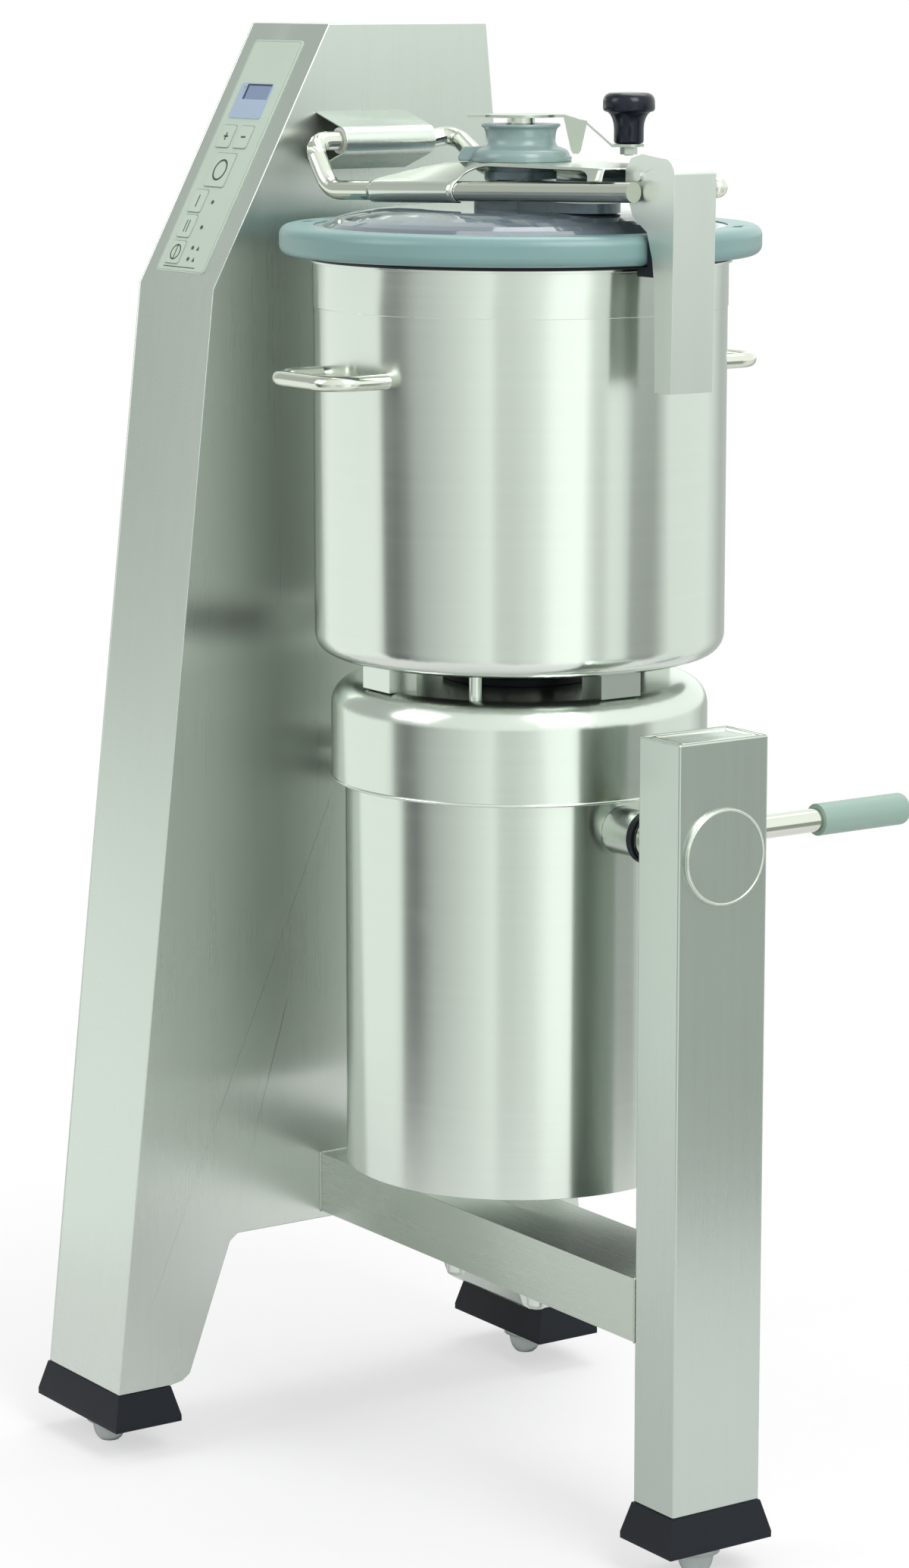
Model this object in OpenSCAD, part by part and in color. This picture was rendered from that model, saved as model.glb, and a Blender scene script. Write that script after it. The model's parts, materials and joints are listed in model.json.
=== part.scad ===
// Floor-standing commercial blender with a tilting bowl and motor unit.
// Working frame: x from the column's inner face towards the post, y from the
// beam's front face towards the back, z up from the floor. machine() then
// moves everything so that the origin is below the middle of the foot print.

/* [Column] */
// Width of the column, across its narrow front
column_w = 140; // [120:1:170]
// Height of the column's flat top
column_h = 1400; // [1380:1:1440]
// Height of the bend where the panel slope starts
knee_z = 1150; // [1120:1:1170]
// Front edge of the column at the foot
foot_front = -237; // [-260:1:-215]
// Rear edge of the column at the foot
foot_rear = 332; // [310:1:360]
// Front edge of the column at the bend
knee_y = -116; // [-130:1:-100]
// Front edge of the flat top
top_front = 17; // [0:1:30]
// Rear edge of the flat top
top_rear = 201; // [180:1:220]
// Length of each leg at its foot, front to back
leg_l = 58; // [50:1:66]
// Height of the arch between the legs
arch_z = 212; // [180:1:216]
// Sheet thickness of the column
sheet = 2.5; // [2:0.5:4]

/* [Stand] */
// Distance from the column's inner face to the bowl's axis
axis_x = 275; // [265:1:290]
// Distance from the bowl's axis to the post's inner face
post_reach = 255; // [245:1:270]
// Narrow side of the beam and post tubes
tube_w = 60; // [50:1:70]
// Wide side of the beam and post tubes
tube_d = 99; // [90:1:110]
// Wall of the beam and post tubes
tube_wall = 3; // [2:0.5:5]
// Height of the post
post_h = 781; // [760:1:800]
// Underside of the cross beam
beam_z = 220; // [216:1:226]
// Diameter of the two buffers under the beam
buffer_d = 20; // [16:1:26]
// Height of the two buffers under the beam
buffer_h = 19; // [14:1:24]
// Distance between the two buffers under the beam
buffer_pitch = 134; // [110:1:160]
// Diameter of the pivot cap on the post
pivot_cap_d = 88; // [70:1:94]
// Thickness of the pivot cap on the post
pivot_cap_t = 4; // [3:0.5:6]

/* [Feet] */
// Height of the rubber boots' top edge
boot_top = 68; // [60:1:76]
// Height of the rubber boots
boot_h = 35; // [28:1:40]
// Flare of the rubber boots on each side
boot_flare = 8.5; // [4:0.5:12]
// Height of the boots' plugs inside the legs
plug_h = 18; // [10:1:30]
// Diameter of the glides' collar
glide_d = 45; // [38:1:50]
// Diameter of the glides' dome
glide_dome_d = 34; // [28:1:36]
// Height of the glides' collar
glide_collar_h = 12; // [8:1:15]
// Diameter of the flat that a glide stands on
glide_flat_d = 14; // [10:1:18]
// Diameter of the glides' threaded stems
glide_stem_d = 12; // [8:1:16]

/* [Tilt pivot] */
// Height of the tilt axis
tilt_z = 676; // [670:1:680]
// Diameter of the tilt shafts
tilt_shaft_d = 30; // [24:1:34]
// Outer diameter of the tilt bushes
tilt_bush_d = 40; // [38:1:46]
// Side of the square pivot block inside the column
pivot_block_s = 70; // [60:1:90]
// Depth of the pivot block inside the column
pivot_block_t = 30; // [20:1:40]
// Diameter of the bosses on the motor casing
boss_d = 44; // [42:1:50]
// Distance that the right boss stands out of the casing
boss_out = 48; // [40:1:55]
// Outer diameter of the rubber rings on the bosses
boss_ring_d = 50; // [48:1:58]
// Length of the rubber rings on the bosses
boss_ring_l = 8; // [5:1:12]

/* [Tilt lever] */
// Diameter of the lever hub on the shaft
lever_hub_d = 44; // [40:1:48]
// Length of the lever hub along the shaft
lever_hub_l = 24; // [24:1:28]
// Diameter of the lever rod
lever_rod_d = 22; // [18:1:23]
// Distance from the tilt axis to the lever's tip
lever_reach = 282; // [260:1:290]
// Length of the grip
grip_l = 104; // [90:1:130]
// Diameter of the grip
grip_d = 30; // [28:1:36]
// Distance that the rod reaches into the grip
grip_seat = 80; // [50:1:84]

/* [Motor unit] */
// Radius of the upper housing cap
cap_r = 177; // [174:1:182]
// Top of the housing cap above the tilt axis
cap_up = 122; // [118:1:126]
// Height of the housing cap
cap_h = 94; // [85:1:100]
// Rounding of the housing cap's shoulder
cap_round = 25; // [15:1:35]
// Radius of the lower casing
casing_r = 164; // [160:1:166]
// Bottom of the casing below the tilt axis
casing_down = 343; // [325:1:346]
// Wall of the cap and the casing
casing_wall = 3; // [2:0.5:4]
// Thickness of the motor flange
flange_t = 14; // [10:1:20]
// Radius of the inner motor frame
motor_r = 132; // [120:1:138]
// Length of the inner motor frame
motor_l = 270; // [250:1:285]
// Wall of the inner motor frame
motor_wall = 12; // [8:1:16]
// Length of the stator core
stator_l = 170; // [120:1:185]
// Bore radius of the stator core
stator_bore_r = 72; // [60:1:85]
// Air gap between rotor and stator
air_gap = 0.6; // [0.4:0.1:0.9]
// Diameter of the motor shaft
shaft_d = 35; // [30:1:38]
// Outer diameter of the two shaft bearings
bearing_d = 80; // [72:1:90]
// Width of the two shaft bearings
bearing_w = 22; // [16:1:26]
// Diameter of the cooling fan
fan_d = 200; // [160:2:240]
// Number of fan blades
fan_blades = 9; // [5:1:12]
// Height of the fan blades
fan_h = 26; // [18:1:32]
// Height of the casing's open skirt below the base plate
skirt_h = 6; // [3:1:12]

/* [Bowl] */
// Outer radius of the bowl
bowl_r = 192; // [186:1:195]
// Height of the bowl from its bottom to its rim
bowl_h = 367; // [350:1:380]
// Wall of the bowl
bowl_wall = 2; // [1.5:0.5:3]
// Rounding of the bowl's lower edge
bowl_round = 20; // [12:1:30]
// Width that the rim turns out past the wall
rim_out = 4; // [3:0.5:5]
// Height of the reinforced band below the rim
band_h = 43; // [30:1:60]
// Thickness that the band adds to the wall
band_t = 0.7; // [0.5:0.1:1.5]
// Height of the bowl seats on the cap
seat_h = 24; // [20:1:30]
// Width of a bowl seat
seat_w = 44; // [36:1:54]
// Depth of a bowl seat, towards the axis
seat_l = 30; // [22:1:36]
// Radius from the axis to the middle of the bowl seats
seat_r = 146; // [130:1:150]
// Diameter of the locating pin
pin_d = 12; // [10:1:16]
// Direction of the locating pin from +x
pin_angle = -52; // [-60:1:-35]
// Outer radius of the rubber drive seal
seal_r = 72; // [60:1:80]
// Height of the rubber drive seal
seal_h = 14; // [10:1:18]
// Outer radius of the bowl's centre tube
chimney_r = 24; // [22:1:28]
// Height of the bowl's centre tube
chimney_h = 95; // [80:1:110]

/* [Bowl handles] */
// Distance between a handle's two legs
handle_w = 105; // [90:1:125]
// Diameter of the handle rod
handle_d = 14; // [10:1:16]
// Distance from the bowl's wall to the middle of the rod
handle_out = 50; // [40:1:55]
// Radius of the handle's corners
handle_bend = 26; // [18:1:34]
// Distance of the handles below the rim
handle_down = 102; // [80:1:140]

/* [Blades] */
// Outer radius of the blade hub
blade_hub_r = 38; // [34:1:44]
// Height of the blade hub
blade_hub_h = 128; // [120:1:150]
// Reach of the blades from the axis
blade_r = 182; // [160:1:184]
// Thickness of the blades
blade_t = 4; // [3:0.5:6]
// Height of the lower blades above the hub's foot
blade_low = 5; // [3:1:12]
// Height of the upper blades above the lower ones
blade_pitch = 62; // [45:1:80]
// Number of teeth along a blade's edge
blade_teeth = 12; // [8:1:16]
// Diameter of the upper shaft that carries the hub
drive_d = 25; // [20:1:30]

/* [Lid] */
// Distance that the lid ring stands out past the bowl's rim
ring_over = 27; // [20:1:30]
// Height of the lid ring
ring_h = 27; // [24:1:32]
// Width of the lid ring
ring_w = 40; // [37:1:44]
// Rounding of the lid ring's outer edges
ring_round = 9; // [5:0.5:11]
// Height of the rubber gasket under the ring
gasket_h = 3.7; // [3:0.1:6]
// Width of the rubber gasket
gasket_w = 18; // [14:1:20]
// Height of the dome above its flange
dome_h = 20; // [16:1:24]
// Radius of the dome's flat top
dome_flat_r = 95; // [80:1:110]
// Thickness of the dome
dome_t = 4; // [3:0.5:5]
// Number of the slots through the ring
ring_slots = 2; // [1:1:4]
// Width of a slot through the ring
ring_slot_w = 9; // [6:1:11]
// Length of a slot through the ring
ring_slot_l = 26; // [18:1:34]

/* [Lid frame] */
// Diameter of the bent frame tube
frame_d = 18.5; // [16:0.5:20]
// Distance of the hinge axis from the column
hinge_x = 40; // [36:1:46]
// Height of the hinge axis above the lid ring's top
hinge_up = 70; // [66:1:76]
// Front end of the hinge sleeve
sleeve_y0 = 2; // [0:1:10]
// Length of the hinge sleeve
sleeve_l = 103; // [90:1:110]
// Outer diameter of the hinge sleeve
sleeve_d = 29; // [28:1:34]
// Height of the bracket on the column's face
bracket_h = 56; // [48:1:64]
// Sheet thickness of bracket, saddle and latch
plate_t = 2; // [1.5:0.5:3]
// Length of each hinge bush
bush_l = 12; // [8:1:20]
// Height of the saddle's top above the lid ring's top
saddle_up = 57.5; // [56:0.5:62]
// Start of the saddle along x
saddle_x0 = 110; // [100:1:125]
// End of the saddle's closed front along x
saddle_x1 = 272; // [250:1:280]
// Distance from the end of the saddle's top plate to the latch pin
saddle_short = 26; // [24:1:33]

/* [Lid hub] */
// Radius of the hub column
hub_r = 31; // [28:1:34]
// Length of the hub's foot towards the latch
hub_foot_l = 110; // [90:1:125]
// Thickness of the hub's foot
hub_foot_t = 9; // [6:1:10]
// Thickness of the steel band round the hub
band_wrap_t = 2.5; // [1:0.5:4]
// Radius of the spool's base flare
spool_base_r = 49.5; // [44:0.5:56]
// Radius of the spool's waist
spool_waist_r = 32; // [30:1:35]
// Radius of the spool's top flare
spool_top_r = 37; // [34:1:42]
// Height of the spool above the saddle
spool_h = 34; // [30:1:38]
// Diameter of the wiper shaft
wiper_shaft_d = 16; // [12:1:20]
// Wall of the wiper shaft's bush
wiper_bush_t = 5; // [3:1:8]
// Length of the wiper shaft's bush
wiper_bush_l = 30; // [20:1:34]
// Reach of the wiper under the dome
wiper_r = 172; // [150:1:176]
// Thickness of the wiper's edge
wiper_t = 5; // [4:0.5:8]
// Clearance between the wiper and the dome
wiper_gap = 0.8; // [0.5:0.1:2]

/* [Crank] */
// Direction of the crank at rest from +x
crank_angle = 55.7; // [0:0.1:90]
// Distance from the hub's axis to the knob
crank_reach = 99.5; // [90:0.5:110]
// Radius of the round crank plate
crank_plate_r = 34; // [30:1:38]
// Length of the crank plate's tail
crank_tail = 49; // [42:1:58]
// Width of the crank arm
crank_w = 28; // [22:1:34]
// Thickness of the crank sheet
crank_t = 2.5; // [2:0.5:4]
// Distance that the arm bends down
crank_drop = 27; // [18:1:28]
// Height of the knob
knob_h = 47; // [40:1:56]
// Diameter of the knob's head
knob_d = 48; // [40:1:54]
// Diameter of the knob's neck
knob_neck_d = 27; // [22:1:30]
// Diameter of the knob's screw
knob_screw_d = 8; // [6:1:10]

/* [Latch] */
// Distance of the latch pin inside the lid ring's edge
latch_in = 10; // [7:1:12]
// Height of the latch pin above the lid ring's top
latch_up = 52; // [50:1:54]
// Width of the latch across its outer face
latch_w = 46; // [42:1:50]
// Distance from the latch pin to the latch's outer face
latch_out = 52; // [48:1:58]
// Length of the latch below its pin
latch_drop = 189; // [170:1:210]
// Depth of the latch at its lower end
latch_depth = 24; // [20:1:30]
// Diameter of the latch pin
latch_pin_d = 8; // [6:1:9]
// Height of the rubber latch pad
pad_h = 32; // [24:1:36]

/* [Panel] */
// Width of the control panel
panel_w = 88; // [80:1:96]
// Length of the control panel along the slope
panel_l = 250; // [236:1:255]
// Thickness of the control panel
panel_t = 1.5; // [1.2:0.1:2]
// Distance of the panel's lower edge from the bend
panel_s0 = 14; // [8:1:20]
// Distance of the panel's right edge from the column's inner face
panel_x1 = 29; // [24:1:34]
// Width of the display window
display_w = 58; // [50:1:62]
// Height of the display window
display_l = 38; // [32:1:42]
// Size of the two small keys
key_s = 24; // [20:1:26]
// Size of the stop key
stop_s = 36; // [32:1:38]
// Distance that the keys stand out of the panel
key_out = 0.8; // [0.5:0.1:1.5]
// Travel of the keys
key_travel = 0.5; // [0.3:0.1:0.6]

/* [Fits] */
// Radial clearance of the running fits
fit = 0.05; // [0.02:0.01:0.09]
// Gap between pieces that only face each other
gap = 0.3; // [0.2:0.05:0.5]

/* [Hidden] */
$fn = 64;
eps = 0.01;
axis_y = tube_d / 2;
post_x = axis_x + post_reach;
mid_x = (post_x + tube_w - column_w) / 2;
mid_y = (foot_front + foot_rear) / 2;
cap_top = tilt_z + cap_up;
cap_z = cap_top - cap_h;
casing_z = tilt_z - casing_down;
flange_z = cap_z;
motor_z = flange_z - motor_l;
base_z = casing_z + skirt_h;
base_t = 6;
bowl_z = cap_top + seat_h;
rim_z = bowl_z + bowl_h;
ring_z = rim_z + gap + gasket_h;
ring_top = ring_z + ring_h;
ring_r = bowl_r + rim_out + ring_over;
ring_inner = ring_r - ring_w;
hinge_z = ring_top + hinge_up;
saddle_z = ring_top + saddle_up;
spool_z = saddle_z + spool_h;
latch_z = ring_top + latch_up;
latch_x = ring_r - latch_in;
latch_px = axis_x + latch_x;
saddle_x2 = latch_px - saddle_short;
slope_a = atan2(column_h - knee_z, top_front - knee_y);
boot_z = boot_top - boot_h;
steel = [0.76, 0.77, 0.74];
dark_steel = [0.45, 0.45, 0.44];
grey_plastic = [0.55, 0.64, 0.66];
rubber = [0.07, 0.07, 0.08];

// Moves the working frame to the origin below the middle of the foot print
module machine() { translate([-mid_x, -mid_y, 0]) children(); }

// Places children on the bowl's axis at a height
module on_axis(z) { translate([axis_x, axis_y, z]) children(); }

// Cylinder along x that starts at the child's origin
module rod_x(d, l) { rotate([0, 90, 0]) cylinder(d = d, h = l); }

// Cylinder along y that starts at the child's origin
module rod_y(d, l) { rotate([-90, 0, 0]) cylinder(d = d, h = l); }

// Half profile of a drum with one rounded corner: below = true rounds the foot
module drum(r, h, round, below) {
    arc_z = below ? round : h - round;
    square([r - round, h]);
    translate([0, below ? round : 0]) square([r, h - round]);
    translate([r - round, arc_z]) circle(round);
}

// Points of an arc from angle a0 to a1
function arc(c, r, a0, a1, n = 6) =
    [for (i = [0:n]) c + r * [cos(a0 + (a1 - a0) * i / n), sin(a0 + (a1 - a0) * i / n)]];

function unit(v) = v / norm(v);

// Outline moved inwards by t, for points listed anticlockwise
function inset(p, t) = [for (i = [0:len(p) - 1]) let (
    a = unit(p[i] - p[(i + len(p) - 1) % len(p)]),
    b = unit(p[(i + 1) % len(p)] - p[i]),
    na = [-a.y, a.x],
    nb = [-b.y, b.x]) p[i] + t * (na + nb) / (1 + na * nb)];

// Arc that rounds the corner at b on the way from a to c
function bend(a, b, c, r, n = 5) = let (
    u = unit(a - b),
    v = unit(c - b),
    half = acos(u * v) / 2,
    centre = b + unit(u + v) * r / sin(half),
    s = b + u * r / tan(half) - centre,
    e = b + v * r / tan(half) - centre,
    w = 180 - 2 * half)
    [for (i = [0:n]) centre + (sin(w * (1 - i / n)) * s + sin(w * i / n) * e) / sin(w)];

// Round bar swept along points that never run straight up
module swept_bar(p, d, sides = 20) {
    n = len(p);
    points = [for (i = [0:n - 1]) let (
        t = unit(p[min(i + 1, n - 1)] - p[max(i - 1, 0)]),
        side = unit(cross(t, [0, 0, 1])),
        up = cross(side, t))
        for (k = [0:sides - 1]) p[i] + d / 2 * (cos(k * 360 / sides) * side
            + sin(k * 360 / sides) * up)];
    walls = [for (i = [0:n - 2], k = [0:sides - 1]) let (m = (k + 1) % sides)
        [i * sides + k, i * sides + m, (i + 1) * sides + m, (i + 1) * sides + k]];
    ends = [[for (k = [sides - 1:-1:0]) k], [for (k = [0:sides - 1]) (n - 1) * sides + k]];
    polyhedron(points, concat(walls, ends), convexity = 6);
}

// Side outline of the column in the y-z plane
leg_run = 24;
column_side = [[foot_front, boot_top], [foot_front + leg_l, boot_top],
    [foot_front + leg_l + leg_run * 0.6, boot_top + 2.5],
    [foot_front + leg_l + leg_run, boot_top + 9],
    [foot_front + leg_l + leg_run * 3, arch_z - 7],
    [foot_front + leg_l + leg_run * 3 + 9, arch_z],
    [foot_rear - leg_l - leg_run * 3 - 9, arch_z],
    [foot_rear - leg_l - leg_run * 3, arch_z - 7],
    [foot_rear - leg_l - leg_run, boot_top + 9],
    [foot_rear - leg_l - leg_run * 0.6, boot_top + 2.5],
    [foot_rear - leg_l, boot_top], [foot_rear, boot_top],
    [top_rear, column_h], [top_front, column_h], [knee_y, knee_z]];

// Extrudes a y-z outline along x from x0 to x1
module side_plate(outline, x0, x1) {
    translate([x0, 0, 0]) rotate([90, 0, 90]) linear_extrude(x1 - x0) polygon(outline);
}

module column_shell() machine() color(steel) difference() {
    side_plate(column_side, sheet - column_w, 0);
    side_plate(inset(column_side, sheet), sheet - column_w - eps, -sheet);
    translate([-sheet - eps, axis_y, tilt_z]) rod_x(tilt_bush_d, sheet + 2 * eps);
    translate([-column_w / 2, gland_y, arch_z - eps]) cylinder(d = gland_d, h = sheet + 2 * eps);
}

module column_cover() machine() color(steel) {
    side_plate(column_side, -column_w, sheet - column_w);
    side_plate(inset(column_side, sheet + gap), sheet - column_w - eps, lip_l - column_w);
}
lip_l = 8;

// Front and rear edge of the column at a height
function front_edge(z) = z < knee_z
    ? foot_front + (knee_y - foot_front) * (z - boot_top) / (knee_z - boot_top)
    : knee_y + (top_front - knee_y) * (z - knee_z) / (column_h - knee_z);
function rear_edge(z) = foot_rear + (top_rear - foot_rear) * (z - boot_top) / (column_h - boot_top);

// Rows of cover screws, one near the front edge and one near the rear edge
screw_d = 12;
screw_head = 3;
screw_in = 26;
screw_end = 50;
screw_rows = [boot_top + screw_end, (boot_top + knee_z) / 2, knee_z - screw_end, column_h - screw_end];
module cover_screws() machine() color(dark_steel)
    for (z = screw_rows, y = [front_edge(z) + screw_in, rear_edge(z) - screw_in])
        translate([-column_w - screw_head, y, z]) rotate([0, 90, 0]) difference() {
            cylinder(d = screw_d, h = screw_head);
            translate([0, 0, -eps]) cylinder(d = screw_d / 2, h = screw_head / 2, $fn = 6);
        }

// Panel plane: children use x across, y up the slope and z out of it
module on_slope() {
    translate([0, knee_y, knee_z]) rotate([slope_a, 0, 0]) children();
}
panel_x0 = -panel_x1 - panel_w;

// Rounded plate from its lower left corner
module soft_plate(w, l, t, r) {
    translate([r, 0, 0]) cube([w - 2 * r, l, t]);
    translate([0, r, 0]) cube([w, l - 2 * r, t]);
    for (x = [r, w - r], y = [r, l - r]) translate([x, y, 0]) cylinder(r = r, h = t);
}

// Centres of keys and lamps on the panel: x from its left edge, y from its lower edge
key_left = 24;
key_right = 56;
key_mid = 40;
plus_y = 145;
stop_y = 109;
one_y = 75;
two_y = 48;
pulse_y = 20;
lamp_x = 51;
lamp_d = 4;
display_x = 12;
display_y = 165;
module on_panel(x, y) { on_slope() translate([panel_x0 + x, panel_s0 + y, 0]) children(); }

// Key pad: it stands in the panel with a gap all round and room to travel below
module key_pad(x, y, w, l) machine() color([0.80, 0.82, 0.80])
    on_panel(x - w / 2, y - l / 2) translate([gap, gap, panel_t - key_pad_t])
        soft_plate(w - 2 * gap, l - 2 * gap, key_pad_t + key_out, 3 - gap);
key_rest = 0.4;
key_pad_t = panel_t - key_travel - key_rest;

// Opening that a key pad moves in
module key_hole(x, y, w, l) {
    on_panel(x - w / 2, y - l / 2) translate([0, 0, -eps]) soft_plate(w, l, panel_t + 1, 3);
}

module key_plus() key_pad(key_left, plus_y, key_s, key_s);
module key_minus() key_pad(key_right, plus_y, key_s, key_s);
module key_stop() key_pad(key_mid, stop_y, stop_s, stop_s);
module key_speed_one() key_pad(key_left, one_y, key_s, key_s);
module key_speed_two() key_pad(key_left, two_y, key_s, key_s);
module key_pulse() key_pad(key_left, pulse_y, key_s, key_s);

module control_panel() machine() color([0.78, 0.80, 0.78]) difference() {
    on_panel(0, 0) soft_plate(panel_w, panel_l, panel_t, 5);
    for (p = [[key_left, plus_y], [key_right, plus_y], [key_left, one_y], [key_left, two_y],
        [key_left, pulse_y]]) key_hole(p.x, p.y, key_s, key_s);
    key_hole(key_mid, stop_y, stop_s, stop_s);
    on_panel(display_x, display_y) translate([0, 0, -eps])
        soft_plate(display_w, display_l, panel_t + 1, 3);
    for (y = lamp_rows) on_panel(lamp_x, y) translate([0, 0, -eps])
        cylinder(d = lamp_d, h = panel_t + 1);
}
lamp_rows = [one_y, two_y, pulse_y - 6, pulse_y + 6];

module display_window() machine() color([0.60, 0.66, 0.80])
    on_panel(display_x, display_y) difference() {
        soft_plate(display_w, display_l, panel_t + 0.6, 3);
        translate([6, display_l * 0.55, panel_t]) soft_plate(display_w - 12, display_l * 0.35, 1, 1);
    }

module indicator_lights() machine() color([0.3, 0.34, 0.3]) for (y = lamp_rows)
    on_panel(lamp_x, y) cylinder(d = lamp_d, h = panel_t + 0.5);

board_t = 12;
module control_board() machine() color([0.16, 0.38, 0.24])
    on_slope() translate([panel_x0 + 4, panel_s0 + 4, -sheet - board_t])
        cube([panel_w - 8, panel_l - 30, board_t]);

power_l = 190;
power_h = 260;
power_t = 90;
power_z = 780;
module power_unit() machine() color([0.5, 0.5, 0.52]) translate([-sheet - power_t, -60, power_z])
    union() {
        translate([power_t - 40, 0, 0]) cube([40, power_l, power_h]);
        for (i = [0:11]) translate([0, 6 + i * 15, 0]) cube([power_t - 40 + eps, 5, power_h]);
    }

gland_y = 120;
gland_d = 20;
module cable_gland() machine() color(rubber) translate([-column_w / 2, gland_y, arch_z])
    difference() {
        union() {
            translate([0, 0, -6]) cylinder(d = 30, h = 6);
            translate([0, 0, -22]) cylinder(d1 = 18, d2 = 26, h = 16);
            translate([0, 0, -eps]) cylinder(d = gland_d, h = sheet + 12);
        }
        translate([0, 0, -40]) cylinder(d = 11, h = 80);
    }

module pivot_block() machine() color(dark_steel) difference() {
    translate([-sheet - pivot_block_t, axis_y - pivot_block_s / 2, tilt_z - pivot_block_s / 2])
        cube([pivot_block_t, pivot_block_s, pivot_block_s]);
    translate([-sheet - pivot_block_t - eps, axis_y, tilt_z])
        rod_x(tilt_bush_d, pivot_block_t + 2 * eps);
}

// Bush with a running bore for the tilt shaft
module tilt_bush(x0, l) {
    translate([x0, axis_y, tilt_z]) difference() {
        rod_x(tilt_bush_d, l);
        translate([-eps, 0, 0]) rod_x(tilt_shaft_d + 2 * fit, l + 2 * eps);
    }
}
module tilt_bushes() machine() color([0.75, 0.6, 0.3]) {
    tilt_bush(-sheet - pivot_block_t, sheet + pivot_block_t + 2);
    tilt_bush(post_x - 2, tube_w + 2);
}

// Rectangular tube along z from its lower corner
module box_tube(w, d, l) {
    difference() {
        cube([w, d, l]);
        translate([tube_wall, tube_wall, -eps])
            cube([w - 2 * tube_wall, d - 2 * tube_wall, l + 2 * eps]);
    }
}

module cross_beam() machine() color(steel) translate([0, 0, beam_z + tube_w])
    rotate([0, 90, 0]) box_tube(tube_w, tube_d, post_x);

module beam_buffers() machine() color(steel) for (s = [-1, 1])
    translate([axis_x + s * buffer_pitch / 2, axis_y / 2, beam_z - buffer_h]) {
        cylinder(d1 = buffer_d - 6, d2 = buffer_d, h = 4);
        translate([0, 0, 4]) cylinder(d = buffer_d, h = buffer_h - 4);
    }

module post_tube() machine() color(steel) difference() {
    translate([post_x, 0, boot_top]) box_tube(tube_w, tube_d, post_h - boot_top);
    translate([post_x - eps, axis_y, tilt_z]) rod_x(tilt_bush_d, tube_w + 2 * eps);
}

cap_recess = 1.2;
module post_cap() machine() color(steel)
    translate([post_x + tube_wall, tube_wall, post_h - cap_recess - 4])
        cube([tube_w - 2 * tube_wall, tube_d - 2 * tube_wall, 4]);

module pivot_cap() machine() color(steel) translate([post_x + tube_w, axis_y, tilt_z])
    rotate([0, 90, 0]) union() {
        cylinder(d = pivot_cap_d, h = pivot_cap_t - 2);
        translate([0, 0, pivot_cap_t - 2]) cylinder(d1 = pivot_cap_d, d2 = pivot_cap_d - 5, h = 2);
    }

// Rubber boot below a foot print, with its plug up inside the leg
module boot(x0, y0, w, l, plug_x, wall) difference() {
    union() {
        hull() {
            translate([x0 - boot_flare, y0 - boot_flare, boot_z])
                cube([w + 2 * boot_flare, l + 2 * boot_flare, 6]);
            translate([x0 - 1, y0 - 1, boot_top - eps]) cube([w + 2, l + 2, eps]);
        }
        if (wall > 0) translate([plug_x + gap, y0 + wall + gap, boot_top - eps])
            cube([w - 2 * wall - 2 * gap, l - 2 * wall - 2 * gap, plug_h]);
    }
    translate([x0 + w / 2, y0 + l / 2, boot_z - eps]) cylinder(d = glide_stem_d, h = 24);
}
module leg_boots() machine() color(rubber) for (y = [foot_front, foot_rear - leg_l])
    boot(-column_w, y, column_w, leg_l, 0, 0);
module post_boot() machine() color(rubber)
    boot(post_x, 0, tube_w, tube_d, post_x + tube_wall, tube_wall);

// Foot print centres of the three legs
glide_places = [[-column_w / 2, foot_front + leg_l / 2], [-column_w / 2, foot_rear - leg_l / 2],
    [post_x + tube_w / 2, tube_d / 2]];
dome_fall = boot_z - glide_collar_h;
module levelling_glides() machine() color([0.62, 0.64, 0.63]) for (p = glide_places)
    translate([p.x, p.y, 0]) rotate_extrude() {
        translate([0, dome_fall]) square([glide_d / 2, glide_collar_h]);
        translate([0, boot_z - eps]) square([glide_stem_d / 2, 22]);
        polygon(concat([[0, dome_fall + eps], [0, 0]],
            [for (i = [0:6]) [glide_flat_d / 2 + (glide_dome_d - glide_flat_d) / 2 * sin(i * 15),
                dome_fall * (1 - cos(i * 15))]],
            [[glide_dome_d / 2, dome_fall + eps]]));
    }

// Tangent point on a circle at the origin as seen from p
function tangent(p, r, s) = let (a = atan2(p.y, p.x) + s * acos(r / norm(p)))
    r * [cos(a), sin(a)];

// Bracket outline in x-z, round the hinge axis, for a sleeve of radius r
bracket_drop = 29;
module bracket_side(r, t) {
    up = [-hinge_x, bracket_h - bracket_drop - t];
    down = [-hinge_x, -bracket_drop + t];
    circle(r);
    polygon([up, [-hinge_x, 0], down, tangent(down, r, 1), [0, 0], tangent(up, r, -1)]);
}
module hinge_bracket() machine() color(steel) translate([hinge_x, sleeve_y0 + sleeve_l, hinge_z])
    rotate([90, 0, 0]) linear_extrude(sleeve_l) difference() {
        bracket_side(sleeve_d / 2, 0);
        bracket_side(sleeve_d / 2 - plate_t, plate_t);
    }

module hinge_bushes() machine() color([0.85, 0.85, 0.82])
    for (y = [sleeve_y0, sleeve_y0 + sleeve_l - bush_l]) translate([hinge_x, y, hinge_z])
        difference() {
            rod_y(sleeve_d - 2 * plate_t, bush_l);
            translate([0, -eps, 0]) rod_y(frame_d + 2 * fit, bush_l + 2 * eps);
        }

module housing_cap() machine() color(steel) on_axis(cap_z) difference() {
    rotate_extrude() difference() {
        drum(cap_r, cap_h, cap_round, false);
        translate([-eps, -eps])
            drum(cap_r - casing_wall, cap_h - casing_wall, cap_round - casing_wall, false);
        square([bearing_d / 2, cap_h + 1]);
    }
}

module motor_casing() machine() color(steel) difference() {
    on_axis(casing_z) rotate_extrude() translate([casing_r - casing_wall, 0])
        square([casing_wall, cap_z - casing_z]);
    translate([axis_x - casing_r - 1, axis_y, tilt_z]) rod_x(boss_d, 2 * casing_r + 2);
}

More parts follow.
